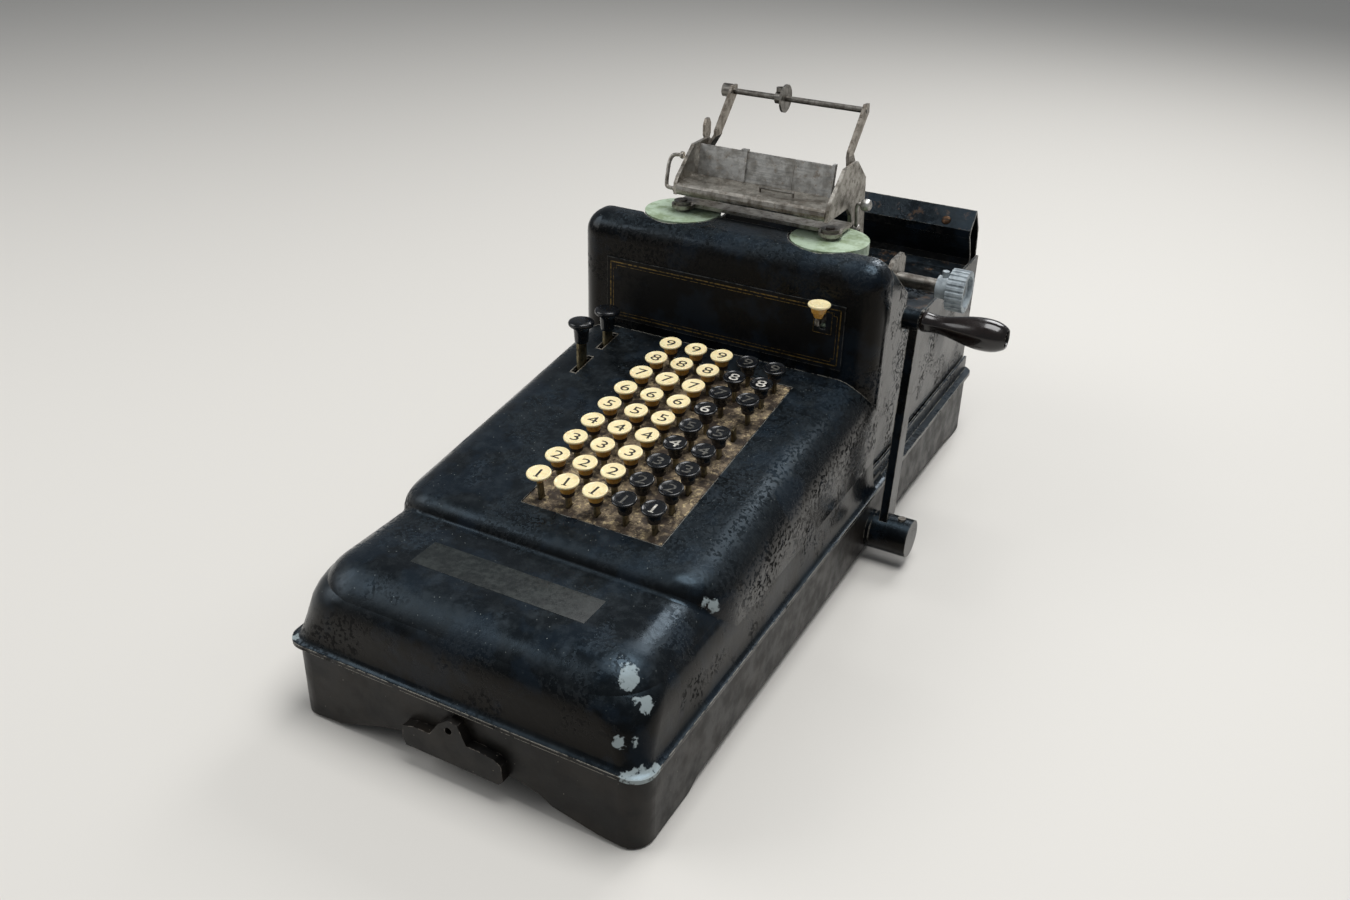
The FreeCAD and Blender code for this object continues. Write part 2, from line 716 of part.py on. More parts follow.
def inner_frame():
    """Two side plates joined by round bars."""
    edge = [("100", "floor_top"), ("100", "84"), ("300", "110"), ("316", "112"),
            ("316", "tray_top - tray_sheet"), ("384", "tray_top - tray_sheet"), ("384", "192"),
            ("391", "197"), ("409", "197"), ("415", "192"), ("415", "142"), ("480", "142"),
            ("480", "floor_top"), ("crank_y + 21", "floor_top"), ("crank_y + 15", "crank_z - 8.5"),
            ("crank_y + 7", "crank_z - 12"), ("crank_y - 7", "crank_z - 12"),
            ("crank_y - 15", "crank_z - 8.5"), ("crank_y - 21", "floor_top")]
    holes = [("crank_y", "crank_z", "crank_shaft_radius + running_gap"),
             ("platen_y", "platen_z", "platen_shaft_radius + running_gap")]
    rods = [(slope_y(along, ROD_ABOVE), slope_z(along, ROD_ABOVE)) for along in ROD_ALONG]
    rods += [(SECTOR_Y, SECTOR_Z), (WHEEL_Y, WHEEL_Z), ("450", "60"), ("450", "125")]
    plates = []
    for side, start in (("left", "-frame_x - frame_sheet / 2"), ("right", "frame_x - frame_sheet / 2")):
        bores = holes if side == "right" else holes[:1]
        plates.append(plate(side + "_frame", "YZ", start, "frame_sheet", edge,
                            bores + [(y, z, "rod_radius") for y, z in rods]))
    node("frame_plates", group("frame_plates", plates))
    bars = [rod("frame_rod_%d" % (index + 1), "x", "rod_radius", "2 * frame_x + frame_sheet",
                "-frame_x - frame_sheet / 2", y, z) for index, (y, z) in enumerate(rods)]
    node("frame_rods", group("frame_rods", bars))


SECTOR_Y = "335"
SECTOR_Z = "140"
WHEEL_Y = "330"
WHEEL_Z = "72"
WHEEL_RADIUS = "11"
TEETH = 10
TYPE_RADIUS = "52"
TYPE_PITCH = "6"
TYPES = 6


def mechanism():
    """Six type sectors on one shaft and six adding wheels on another."""
    first = "spool_middle - %s * %d / 2" % (TYPE_PITCH, TYPES)
    whole = "%s * %d" % (TYPE_PITCH, TYPES)
    hub = rod("sector_hub", "x", "9", whole, first, SECTOR_Y, SECTOR_Z)
    start_angle = -20
    end_angle = 30
    points = [(SECTOR_Y, SECTOR_Z)]
    for step in range(8):
        angle = start_angle + (end_angle - start_angle) * step / 7
        points.append(("%s + %s * cos(%g deg)" % (SECTOR_Y, TYPE_RADIUS, angle),
                       "%s + %s * sin(%g deg)" % (SECTOR_Z, TYPE_RADIUS, angle)))
    arm = plate("sector_arm", "YZ", first, whole, points)
    sector_bore = rod("sector_bore", "x", "rod_radius + running_gap", whole + " + 2", first + " - 1",
                      SECTOR_Y, SECTOR_Z)
    gaps = [sector_bore]
    for index in range(TYPES + 1):
        gaps.append(box("sector_gap_%d" % index, first + " - 2 + %s * %d" % (TYPE_PITCH, index),
                        SECTOR_Y + " - 20", SECTOR_Z + " - 20", "4", "140", "140"))
    node("type_sectors", cut("type_sectors", fuse("sector_block", [hub, arm]), gaps))
    wheel = rod("wheel_block", "x", WHEEL_RADIUS, whole, first, WHEEL_Y, WHEEL_Z)
    tools = [rod("wheel_bore", "x", "rod_radius + running_gap", whole + " + 2", first + " - 1",
                 WHEEL_Y, WHEEL_Z)]
    for index in range(TYPES + 1):
        tools.append(box("wheel_gap_%d" % index, first + " - 1 + %s * %d" % (TYPE_PITCH, index),
                         WHEEL_Y + " - 15", WHEEL_Z + " - 15", "2", "30", "30"))
    for tooth in range(TEETH):
        angle = 360 / TEETH * tooth
        tools.append(rod("tooth_gap_%d" % tooth, "x", "1.8", whole + " + 2", first + " - 1",
                         "%s + %s * cos(%g deg)" % (WHEEL_Y, WHEEL_RADIUS, angle),
                         "%s + %s * sin(%g deg)" % (WHEEL_Z, WHEEL_RADIUS, angle)))
    node("adding_wheels", cut("adding_wheels", wheel, tools))




def pivot_bore(name, radius, start, length, y, z):
    """A hole along X with a running gap round a pin of this radius."""
    return rod(name, "x", radius + " + running_gap", length, start, y, z)


def crank():
    """The shaft, its bush, the arm with its taper pin, and the turning grip on its spindle."""
    pin = cone("crank_pin", "z", "2.2", "2.8", "2 * hub_radius + 2", "hub_start + 19", "crank_y",
               "crank_z - hub_radius - 1")
    shaft_start = "-frame_x - 6"
    shaft = rod("shaft_bar", "x", "crank_shaft_radius", "hub_end - 2.5 - (%s)" % shaft_start, shaft_start,
                "crank_y", "crank_z")
    node("crank_shaft", cut("crank_shaft", shaft, [copy_of(pin, "shaft_pin_hole")]))
    wall = "base_width / 2 - base_wall"
    sleeve = rod("bush_sleeve", "x", "crank_shaft_radius + 4", "base_wall + 1", wall, "crank_y", "crank_z")
    collar = rod("bush_collar", "x", "hub_radius", "hub_start - 0.2 - base_width / 2", "base_width / 2",
                 "crank_y", "crank_z")
    bore = pivot_bore("bush_bore", "crank_shaft_radius", wall + " - 1", "base_wall + 8",
                      "crank_y", "crank_z")
    node("crank_bush", cut("crank_bush", fuse("bush_block", [sleeve, collar]), [bore]))
    hub = rod("arm_hub", "x", "hub_radius", "hub_end - hub_start", "hub_start", "crank_y", "crank_z")
    boss = rod("arm_boss", "x", "7.5", "grip_start - 0.5 - hub_start + 1", "hub_start - 1",
               "grip_y", "grip_z")
    bar = plate("arm_bar", "YZ", "arm_start", "arm_thickness",
                [("crank_y - 8", "crank_z + 0.7"), ("crank_y + 8", "crank_z - 0.7"),
                 ("grip_y + 5", "grip_z - 0.4"), ("grip_y - 5", "grip_z + 0.4")])
    holes = [rod("arm_shaft_hole", "x", "crank_shaft_radius", "hub_end - 2.5 - hub_start + 1",
                 "hub_start - 1", "crank_y", "crank_z"),
             rod("arm_spindle_hole", "x", "4", "20", "hub_start - 2", "grip_y", "grip_z"),
             copy_of(pin, "arm_pin_hole")]
    node("crank_arm", cut("crank_arm", fuse("arm_block", [hub, boss, bar]), holes))
    node("crank_pin", pin)
    bar = rod("spindle_bar", "x", "4", "grip_end - 5 - hub_start + 1", "hub_start - 1", "grip_y", "grip_z")
    head = rod("spindle_head", "x", "5.5", "3", "grip_end - 5", "grip_y", "grip_z")
    slot = box("spindle_slot", "grip_end - 3.2", "grip_y - 7", "grip_z - 0.7", "3", "14", "1.4")
    node("crank_spindle", cut("crank_spindle", fuse("spindle_block", [bar, head]), [slot]))
    profile = [("grip_start", "0"), ("grip_start", "6.6"), ("grip_start + 3", "6.8"),
               ("grip_start + 7", "6.1"), ("grip_start + 14", "6.1"), ("grip_start + 20", "7.2"),
               ("grip_start + 27", "8.8"), ("grip_start + 34", "10.1"),
               ("grip_start + 41", "grip_radius"), ("grip_start + 46", "10.5"), ("grip_end - 6", "9.6"),
               ("grip_end - 3", "8.3"), ("grip_end - 0.8", "6.8"), ("grip_end", "6.1"), ("grip_end", "0")]
    grip = turned("grip_block", "XY", profile, "H_Axis")
    place(grip, "0", "grip_y", "grip_z")
    holes = [pivot_bore("grip_bore", "4", "grip_start - 1", "80", "grip_y", "grip_z"),
             rod("grip_counterbore", "x", "5.8", "12", "grip_end - 5.2", "grip_y", "grip_z")]
    node("crank_grip", cut("crank_grip", grip, holes))
    low, high, reach = 45, 75, "45"
    points = [("crank_y + 2", "crank_z - 4"), ("crank_y + 10", "crank_z + 4")]
    for step in range(5):
        angle = low + (high - low) * step / 4
        points.append(("crank_y + %s * cos(%g deg)" % (reach, angle),
                       "crank_z + %s * sin(%g deg)" % (reach, angle)))
    points += [("crank_y - 4", "crank_z + 10"), ("crank_y - 6", "crank_z")]
    fan = plate("drive_fan", "YZ", "frame_x - 21", "5", points)
    drum = rod("drive_hub", "x", "11", "12", "frame_x - 25", "crank_y", "crank_z")
    hole = rod("drive_hole", "x", "crank_shaft_radius", "20", "frame_x - 29", "crank_y", "crank_z")
    node("drive_sector", cut("drive_sector", fuse("drive_block", [fan, drum]), [hole]))


def copy_of(cone_item, name):
    """A second cone bound to the same sizes as the first."""
    twin = add("Part::Cone", name)
    twin.Placement = cone_item.Placement
    for prop, text in cone_item.ExpressionEngine:
        twin.setExpression(prop, text)
    return twin


def spool(side, sign):
    """One ribbon spool: a lower flange, a drum and the thick upper disc."""
    x = "spool_middle + %d * spool_offset" % sign
    low = "tray_top + 0.1"
    flange = rod(side + "_flange", "z", "spool_radius - 4", "1.5", x, "spool_y", low)
    drum = rod(side + "_drum", "z", "drum_radius", "spool_top - spool_rim - tray_top + 1", x, "spool_y",
               low)
    disc = rod(side + "_disc", "z", "spool_radius", "spool_rim", x, "spool_y", "spool_top - spool_rim")
    hole = rod(side + "_spool_bore", "z", "spindle_radius + running_gap", "80", x, "spool_y",
               "tray_top - 5")
    name = side + "_ribbon_spool"
    node(name, cut(name, fuse(side + "_spool_block", [flange, drum, disc]), [hole]))


GUIDE_LEFT = "spool_middle - 26"
GUIDE_RIGHT = "spool_middle + 26"
GUIDE_Y = "379"


def ribbon_works():
    """The tray with its spindles and guide posts, the strap over the spools, spools and ribbon."""
    sheet_low = "tray_top - tray_sheet"
    tray = plate("tray_sheet", "XY", sheet_low, "tray_sheet",
                 [("-(frame_x + frame_sheet / 2)", "318"), ("frame_x + frame_sheet / 2", "318"),
                  ("frame_x + frame_sheet / 2", "382"), ("spool_middle + 22", "382"),
                  ("spool_middle + 22", "325"), ("spool_middle - 22", "325"),
                  ("spool_middle - 22", "382"), ("-(frame_x + frame_sheet / 2)", "382")])
    posts = [rod("left_guide_post", "z", "2", "tray_sheet + 22", GUIDE_LEFT, GUIDE_Y, sheet_low),
             rod("right_guide_post", "z", "2", "tray_sheet + 22", GUIDE_RIGHT, GUIDE_Y, sheet_low)]
    spindles = []
    strap_parts = [box("strap_bar", "spool_middle - spool_offset - 6", "spool_y + 2", "spool_top + 2.5",
                       "2 * spool_offset + 12", "22", "strap_sheet")]
    strap_holes = []
    for side, sign in (("left", -1), ("right", 1)):
        x = "spool_middle + %d * spool_offset" % sign
        post = rod(side + "_spindle", "z", "spindle_radius", "spool_top - tray_top + tray_sheet + 8", x,
                   "spool_y", sheet_low)
        collar = rod(side + "_spindle_collar", "z", "5", "2.3", x, "spool_y", "spool_top + 0.2")
        spindles.append(fuse(side + "_spindle_block", [post, collar]))
        nut = rod(side + "_nut_block", "z", "6.4", "2", x, "spool_y", "spool_top + 2.5 + strap_sheet")
        nut_hole = rod(side + "_nut_hole", "z", "spindle_radius", "6", x, "spool_y", "spool_top + 2.5")
        spindles.append(cut(side + "_spool_nut", nut, [nut_hole]))
        strap_parts.append(rod(side + "_strap_lobe", "z", "8", "strap_sheet", x, "spool_y",
                               "spool_top + 2.5"))
        strap_holes.append(rod(side + "_strap_hole", "z", "spindle_radius", "10", x, "spool_y",
                               "spool_top"))
    holes = [rod("tray_hole_%d" % index, "z", radius, "6", x, y, "tray_top - 4")
             for index, (radius, x, y) in enumerate((("2", GUIDE_LEFT, GUIDE_Y),
                                                     ("2", GUIDE_RIGHT, GUIDE_Y),
                                                     ("spindle_radius", "spool_middle - spool_offset",
                                                      "spool_y"),
                                                     ("spindle_radius", "spool_middle + spool_offset",
                                                      "spool_y")))]
    node("spool_tray", group("spool_tray", [cut("tray_with_holes", tray, holes)] + posts + spindles))
    node("spool_strap", cut("spool_strap", fuse("strap_block", strap_parts), strap_holes))
    spool("left", -1)
    spool("right", 1)
    rolls = []
    for side, sign in (("left", -1), ("right", 1)):
        x = "spool_middle + %d * spool_offset" % sign
        roll = rod(side + "_roll_block", "z", "17", "ribbon_width", x, "spool_y", "ribbon_low")
        core = rod(side + "_roll_core", "z", "drum_radius + 0.3", "ribbon_width + 2", x, "spool_y",
                   "ribbon_low - 1")
        rolls.append(cut(side + "_roll", roll, [core]))
    skin = "0.4"
    path = [("spool_middle - spool_offset", "spool_y + 16.4"),
            (GUIDE_LEFT + " - 2.2", GUIDE_Y + " + 2.1"), (GUIDE_RIGHT + " + 2.2", GUIDE_Y + " + 2.1"),
            ("spool_middle + spool_offset", "spool_y + 16.4")]
    back = [(x, y + " + " + skin) for x, y in reversed(path)]
    span = plate("ribbon_span", "XY", "ribbon_low", "ribbon_width", path + back)
    node("ribbon", fuse("ribbon", rolls + [span]))


def platen():
    """The roller on its shaft and the ribbed knob at the right."""
    shaft_start = "side_left - 4"
    shaft = rod("platen_shaft", "x", "platen_shaft_radius",
                "knob_start + knob_length - 3 - (%s)" % shaft_start, shaft_start, "platen_y", "platen_z")
    node("platen_shaft", shaft)
    roller = rod("roller_block", "x", "platen_radius", "platen_right - platen_left", "platen_left",
                 "platen_y", "platen_z")
    bore = rod("roller_bore", "x", "platen_shaft_radius", "platen_right - platen_left + 4",
               "platen_left - 2", "platen_y", "platen_z")
    node("platen_roller", cut("platen_roller", roller, [bore]))
    disc = rod("knob_disc", "x", "knob_radius", "knob_length", "knob_start", "platen_y", "platen_z")
    collar = rod("knob_collar", "x", "8", "9", "knob_start - 9", "platen_y", "platen_z")
    grooves = [rod("knob_bore", "x", "platen_shaft_radius", "30", "knob_start - 12", "platen_y",
                   "platen_z"),
               rod("knob_recess", "x", "knob_radius - 3.6", "4", "knob_start + knob_length - 3",
                   "platen_y", "platen_z")]
    ribs = 24
    for rib in range(ribs):
        angle = 360 / ribs * rib
        grooves.append(rod("knob_groove_%d" % rib, "x", "1.1", "knob_length + 2", "knob_start - 1",
                           "platen_y + (knob_radius + 0.3) * cos(%g deg)" % angle,
                           "platen_z + (knob_radius + 0.3) * sin(%g deg)" % angle))
    screw = rod("knob_screw", "z", "2.4", "5", "knob_start - 4.5", "platen_y", "platen_z + 7")
    block = cut("knob_block", fuse("knob_solid", [disc, collar]),
                grooves + [rod("knob_screw_hole", "z", "2.4", "10", "knob_start - 4.5", "platen_y",
                               "platen_z + 7")])
    node("platen_knob", group("platen_knob", [block, screw]))


LEVER_PIN = "1.6"
RELEASE_Y = "388"
RELEASE_Z = "214"
FINGER_Y = "396"
FINGER_Z = "244"


def carriage():
    """The fixed carriage: rail, side plates, shelf, table, roll arms, and its small levers."""
    rail = box("carriage_rail", "-(frame_x - frame_sheet / 2)", "rail_y", "rail_top - 10",
               "2 * frame_x - frame_sheet", "14", "10")
    node("carriage_rail", rail)
    edge = [("338", "shelf_top - 8"), ("338", "shelf_top"), ("341", "shelf_top + 4"),
            ("363", "shelf_top + 21"), ("386", "shelf_top + 21"), ("404", "shelf_top + 6"),
            ("410", "205"), ("410", "rail_top"), ("rail_y - 3", "rail_top"), ("387", "168"),
            ("386.5", "205"), ("381", "226"), ("373", "shelf_top - 8")]
    left = plate("left_carriage_plate", "YZ", "side_left", "side_sheet", edge,
                 [("platen_y", "platen_z", "platen_shaft_radius + running_gap"),
                  (FINGER_Y, FINGER_Z, LEVER_PIN)])
    right = plate("right_carriage_plate", "YZ", "side_right - side_sheet", "side_sheet", edge,
                  [("platen_y", "platen_z", "platen_shaft_radius + running_gap"),
                   (RELEASE_Y, RELEASE_Z, LEVER_PIN)])
    finger_pin = rod("finger_pin", "x", LEVER_PIN, "side_sheet + 6", "side_left - 6", FINGER_Y, FINGER_Z)
    release_pin = rod("release_pin", "x", LEVER_PIN, "side_sheet + 5.5", "side_right - side_sheet",
                      RELEASE_Y, RELEASE_Z)
    node("carriage_plates", group("carriage_plates", [left, right, finger_pin, release_pin]))
    inner_left = "side_left + side_sheet"
    inner_right = "side_right - side_sheet"
    width = "%s - (%s)" % (inner_right, inner_left)
    shelf = plate("paper_shelf", "YZ", inner_left, width,
                  [("339", "shelf_top - 8"), ("337.4", "shelf_top - 6.4"), ("336.8", "shelf_top - 4"),
                   ("337.4", "shelf_top - 1.6"), ("339", "shelf_top"), ("367", "shelf_top + 0.5"),
                   ("367", "shelf_top - 1"), ("357", "shelf_top - 1.4"), ("356.5", "shelf_top - 4"),
                   ("355", "shelf_top - 6.6"), ("352.5", "shelf_top - 8")])
    node("paper_shelf", shelf)
    leaf = [("364.2", "shelf_top + 0.5"), ("365.6", "shelf_top + 0.5"), ("369.4", "shelf_top + 20.5"),
            ("368", "shelf_top + 20.5")]
    post = [("363", "shelf_top + 0.5"), ("367", "shelf_top + 0.5"), ("371", "shelf_top + 21.5"),
            ("367", "shelf_top + 21.5")]
    leaves = []
    for name, start, end, points in (("left", inner_left + " + 2.2", "-17", leaf),
                                     ("middle", "-12", "22.8", leaf),
                                     ("right", "23.2", "50", leaf),
                                     ("hinge", "-17", "-12", post),
                                     ("edge", "50", "52", post)):
        leaves.append(plate(name + "_leaf", "YZ", start, "%s - (%s)" % (end, start), points))
    node("paper_table", group("paper_table", leaves))
    side = [("378", "shelf_top + 2"), ("391", "shelf_top + 2"), ("391", "shelf_top + 14"),
            ("388", "shelf_top + 25"), ("roll_rod_y + 4.5", "roll_rod_z - 2"),
            ("roll_rod_y + 4", "roll_rod_z + 4"), ("roll_rod_y - 3", "roll_rod_z + 4.5"),
            ("379", "shelf_top + 28"), ("377", "shelf_top + 16")]
    arms = []
    for name, face, inward, shift in (("left", inner_left, "1", "6.5"), ("right", inner_right, "-1", "2")):
        front = [(face, "shelf_top"), ("%s + %s * 2" % (face, inward), "shelf_top"),
                 ("%s + %s * 2" % (face, inward), "shelf_top + 14"),
                 ("%s + %s * (2 + %s)" % (face, inward, shift), "shelf_top + 24"),
                 ("%s + %s * (2 + %s)" % (face, inward, shift), "roll_rod_z + 6"),
                 ("%s + %s * %s" % (face, inward, shift), "roll_rod_z + 6"),
                 ("%s + %s * %s" % (face, inward, shift), "shelf_top + 24.8"),
                 (face, "shelf_top + 14.8")]
        arm = common(name + "_arm_bend", plate(name + "_arm_side", "YZ", face + " - 12", "24", side),
                     plate(name + "_arm_front", "XZ", "-420", "60", front))
        arms.append(cut(name + "_roll_arm", arm,
                        [pivot_bore(name + "_arm_hole", "roll_rod_radius", face + " - 15", "30",
                                    "roll_rod_y", "roll_rod_z")]))
    node("roll_arms", group("roll_arms", arms))
    start = inner_left
    rod_bar = rod("roll_rod_bar", "x", "roll_rod_radius", "%s - (%s) - 1.6" % (inner_right, start),
                  start, "roll_rod_y", "roll_rod_z")
    ball = rod("roll_rod_knob", "x", "4.6", "6", start, "roll_rod_y", "roll_rod_z")
    node("roll_rod", fuse("roll_rod", [rod_bar, ball]))
    disc = rod("roll_disc_plate", "x", "9.5", "1.5", "-4", "roll_rod_y", "roll_rod_z")
    hub = rod("roll_disc_hub", "x", "4.2", "6", "-10", "roll_rod_y", "roll_rod_z")
    hole = pivot_bore("roll_disc_bore", "roll_rod_radius", "-12", "12", "roll_rod_y", "roll_rod_z")
    thumb_hole = rod("roll_disc_thumb_hole", "z", "1.3", "12", "-7", "roll_rod_y", "roll_rod_z")
    block = cut("roll_disc_block", fuse("roll_disc_solid", [disc, hub]), [hole, thumb_hole])
    thumb_bar = rod("thumb_bar", "z", "1.3", "5", "-7", "roll_rod_y", "roll_rod_z + 2.5")
    thumb_head = rod("thumb_head", "z", "3.2", "2.4", "-7", "roll_rod_y", "roll_rod_z + 4.6")
    node("roll_disc", group("roll_disc", [block, fuse("thumb_screw", [thumb_bar, thumb_head])]))


def small_levers():
    """The paper release lever, the finger lever and the wire bail on the shelf."""
    start = "side_right + 0.2"
    hub = rod("release_hub", "x", "4", "4", start, RELEASE_Y, RELEASE_Z)
    arm = plate("release_arm", "YZ", "side_right + 1.2", "2",
                [(RELEASE_Y + " + 2.5", RELEASE_Z), (RELEASE_Y + " - 2.5", RELEASE_Z),
                 (RELEASE_Y + " - 9.5", RELEASE_Z + " + 22"), (RELEASE_Y + " - 6", RELEASE_Z + " + 23")])
    bar = rod("release_bar", "x", "1.5", "9", "side_right + 1.2", RELEASE_Y + " - 7.6",
              RELEASE_Z + " + 21")
    knob = rod("release_knob", "x", "4.4", "7", "side_right + 7", RELEASE_Y + " - 7.6",
               RELEASE_Z + " + 21")
    bore = pivot_bore("release_bore", LEVER_PIN, "side_right", "10", RELEASE_Y, RELEASE_Z)
    lever = cut("release_block", fuse("release_solid", [hub, arm, bar]), [bore])
    sleeve = cut("release_sleeve", knob, [rod("release_knob_hole", "x", "1.5", "3.2", "side_right + 7",
                                              RELEASE_Y + " - 7.6", RELEASE_Z + " + 21")])
    node("release_lever", group("release_lever", [lever, sleeve]))
    hub = rod("finger_hub", "x", "4", "4", "side_left - 4.2", FINGER_Y, FINGER_Z)
    arm = plate("finger_arm", "YZ", "side_left - 4.2", "2",
                [(FINGER_Y + " + 2.5", FINGER_Z), (FINGER_Y + " - 2.5", FINGER_Z),
                 (FINGER_Y + " - 5", FINGER_Z + " + 14"), (FINGER_Y + " - 8", FINGER_Z + " + 18"),
                 (FINGER_Y + " - 8", FINGER_Z + " + 25"), (FINGER_Y + " - 5.5", FINGER_Z + " + 29"),
                 (FINGER_Y + " - 1.5", FINGER_Z + " + 29"), (FINGER_Y + " + 1", FINGER_Z + " + 25"),
                 (FINGER_Y + " + 1", FINGER_Z + " + 18"), (FINGER_Y + " - 1.5", FINGER_Z + " + 14")])
    bore = pivot_bore("finger_bore", LEVER_PIN, "side_left - 8", "10", FINGER_Y, FINGER_Z)
    node("finger_lever", cut("finger_lever", fuse("finger_solid", [hub, arm]), [bore]))
    wire = "0.8"
    top = "shelf_top + 3"
    legs = [rod("bail_leg_%d" % index, "z", wire, "2.7", x, "351", "shelf_top + 0.3")
            for index, x in enumerate(("6", "30"))]
    bar = rod("bail_bar", "x", wire, "25.6", "5.2", "351", top)
    node("wire_bail", fuse("wire_bail", legs + [bar]))


def nameplate():
    """The thin panel on the upright's face, with a slot for the key's stem."""
    panel = box("nameplate_sheet", "-89", "upright_y - 0.8", "145", "178", "0.8", "45")
    slot = box("nameplate_slot", ERROR_X + " - 2", "upright_y - 5", ERROR_Z + " - 8.5", "4", "10", "12")
    node("nameplate", cut("nameplate", panel, [slot]))


keyboard()
keys()
function_keys()
inner_frame()
mechanism()
crank()
ribbon_works()
platen()
carriage()
small_levers()
nameplate()


def write_nodes():
    """Checks every object and writes one STEP file for each node."""
    doc.recompute()
    for item in doc.Objects:
        if "Invalid" in item.State or "Error" in item.State:
            raise RuntimeError("%s did not build: %s" % (item.Label, item.State))
    for name, item in NODES.items():
        shape = item.Shape
        if shape.isNull() or not shape.isValid() or not shape.Solids:
            raise RuntimeError(name + " has no valid solid")
        shape.exportStep(os.path.join("parts", name + ".step"))
        print("%-24s solids %3d  volume %10.0f  X %.1f..%.1f Y %.1f..%.1f Z %.1f..%.1f"
              % (name, len(shape.Solids), shape.Volume, shape.BoundBox.XMin, shape.BoundBox.XMax,
                 shape.BoundBox.YMin, shape.BoundBox.YMax, shape.BoundBox.ZMin, shape.BoundBox.ZMax))


write_nodes()
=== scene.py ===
"""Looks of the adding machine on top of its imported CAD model, in metres, in the CAD frame."""
import json
import math
import bmesh
import bpy
from bpy.props import FloatProperty, FloatVectorProperty, PointerProperty
from mathutils import Matrix, Vector


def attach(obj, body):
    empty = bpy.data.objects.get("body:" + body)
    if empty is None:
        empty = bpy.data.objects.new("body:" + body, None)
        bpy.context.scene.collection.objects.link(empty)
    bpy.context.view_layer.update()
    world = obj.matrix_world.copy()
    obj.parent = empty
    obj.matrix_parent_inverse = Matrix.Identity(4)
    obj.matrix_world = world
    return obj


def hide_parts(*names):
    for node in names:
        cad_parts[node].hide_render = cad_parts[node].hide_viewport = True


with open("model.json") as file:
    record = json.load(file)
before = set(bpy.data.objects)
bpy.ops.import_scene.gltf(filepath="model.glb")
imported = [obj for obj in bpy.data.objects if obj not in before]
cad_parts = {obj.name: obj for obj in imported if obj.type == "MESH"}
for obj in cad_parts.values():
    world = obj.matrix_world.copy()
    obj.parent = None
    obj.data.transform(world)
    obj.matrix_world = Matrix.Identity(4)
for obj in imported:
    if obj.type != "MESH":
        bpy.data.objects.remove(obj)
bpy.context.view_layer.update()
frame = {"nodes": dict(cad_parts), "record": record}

bl_info = {
    "name": "Adding Machine Looks",
    "version": (1, 0, 0),
    "blender": (4, 5, 0),
    "location": "View3D > Sidebar > Machine",
    "description": "Finishes, keys, ornament and stage for a hand-cranked adding machine",
    "category": "Object",
}

MM = 0.001
# the drawing frame is X from the body's centre line and Y from the rim's front edge, in mm
SHIFT_X = 34.0
SHIFT_Y = 279.5
# the keyboard's slope starts here and rises to the rear
DECK_Y = 95.0
DECK_Z = 110.5
SLOPE = math.radians(7.37)


def row_point(x, y, z):
    """A point of the drawing frame, in mm, as a point of the row, in metres."""
    return Vector(((x - SHIFT_X) * MM, (y - SHIFT_Y) * MM, z * MM))


# places something that is built in the drawing frame
TO_ROW = Matrix.Translation(row_point(0, 0, 0))
# turns the Z axis along X
ACROSS = Matrix.Rotation(math.pi / 2, 4, "Y")


def slope_matrix(x, along, above):
    """Where something on the keyboard's slope stands: its Z is the slope's normal."""
    y = DECK_Y + along * math.cos(SLOPE) - above * math.sin(SLOPE)
    z = DECK_Z + along * math.sin(SLOPE) + above * math.cos(SLOPE)
    return Matrix.Translation(row_point(x, y, z)) @ Matrix.Rotation(SLOPE, 4, "X")


def linear(text):
    """An sRGB hex colour as linear RGBA."""
    out = []
    for index in (0, 2, 4):
        part = int(text[index:index + 2], 16) / 255
        out.append(part / 12.92 if part <= 0.04045 else ((part + 0.055) / 1.055) ** 2.4)
    return (*out, 1.0)


def add_node(tree, kind, output, inputs, **settings):
    """Adds one node with its settings and gives one of its outputs.

    inputs maps a socket's name or number to a value, or to the output that feeds it.
    """
    node = tree.nodes.new("ShaderNode" + kind)
    for key, setting in settings.items():
        setattr(node, key, setting)
    for key, source in inputs.items():
        if isinstance(source, bpy.types.NodeSocket):
            tree.links.new(source, node.inputs[key])
        else:
            node.inputs[key].default_value = source
    return node.outputs[output]


def blank_finish(name, colour, roughness, **settings):
    """A material with its shader's plain values; gives its tree, object coordinates and shader."""
    material = bpy.data.materials.new(name)
    material.use_nodes = True
    tree = material.node_tree
    shader = tree.nodes["Principled BSDF"]
    shader.inputs["Base Color"].default_value = colour
    shader.inputs["Roughness"].default_value = roughness
    for key, setting in settings.items():
        shader.inputs[key.replace("_", " ")].default_value = setting
    return material, tree, add_node(tree, "TexCoord", "Object", {}), shader


def clouds(tree, at, size, low, high, dark=0.0, light=1.0, detail=4.0, ragged=0.6):
    """Uneven patches about size millimetres across, eased from dark to light between two levels."""
    depth = add_node(tree, "TexNoise", "Fac", {"Vector": at, "Scale": 1 / (size * MM),
                                               "Detail": detail, "Roughness": ragged})
    return add_node(tree, "MapRange", "Result", {"Value": depth, "From Min": low, "From Max": high,
                                                 "To Min": dark, "To Max": light},
                    interpolation_type="SMOOTHSTEP")


def flecks(tree, at, spacing, radius):
    """Small round marks: one inside a mark and zero between, sizes in millimetres."""
    away = add_node(tree, "TexVoronoi", "Distance", {"Vector": at, "Scale": 1 / (spacing * MM)})
    return add_node(tree, "MapRange", "Result", {"Value": away, "From Min": radius / spacing,
                                                 "From Max": 0.6 * radius / spacing},
                    interpolation_type="SMOOTHSTEP")


def both(tree, *shares):
    """Where all of several shares hold, as their product."""
    whole = shares[0]
    for share in shares[1:]:
        whole = add_node(tree, "Math", "Value", {0: whole, 1: share}, operation="MULTIPLY")
    return whole


def summed(tree, *shares):
    """Several shares added up."""
    whole = shares[0]
    for share in shares[1:]:
        whole = add_node(tree, "Math", "Value", {0: whole, 1: share}, operation="ADD")
    return whole


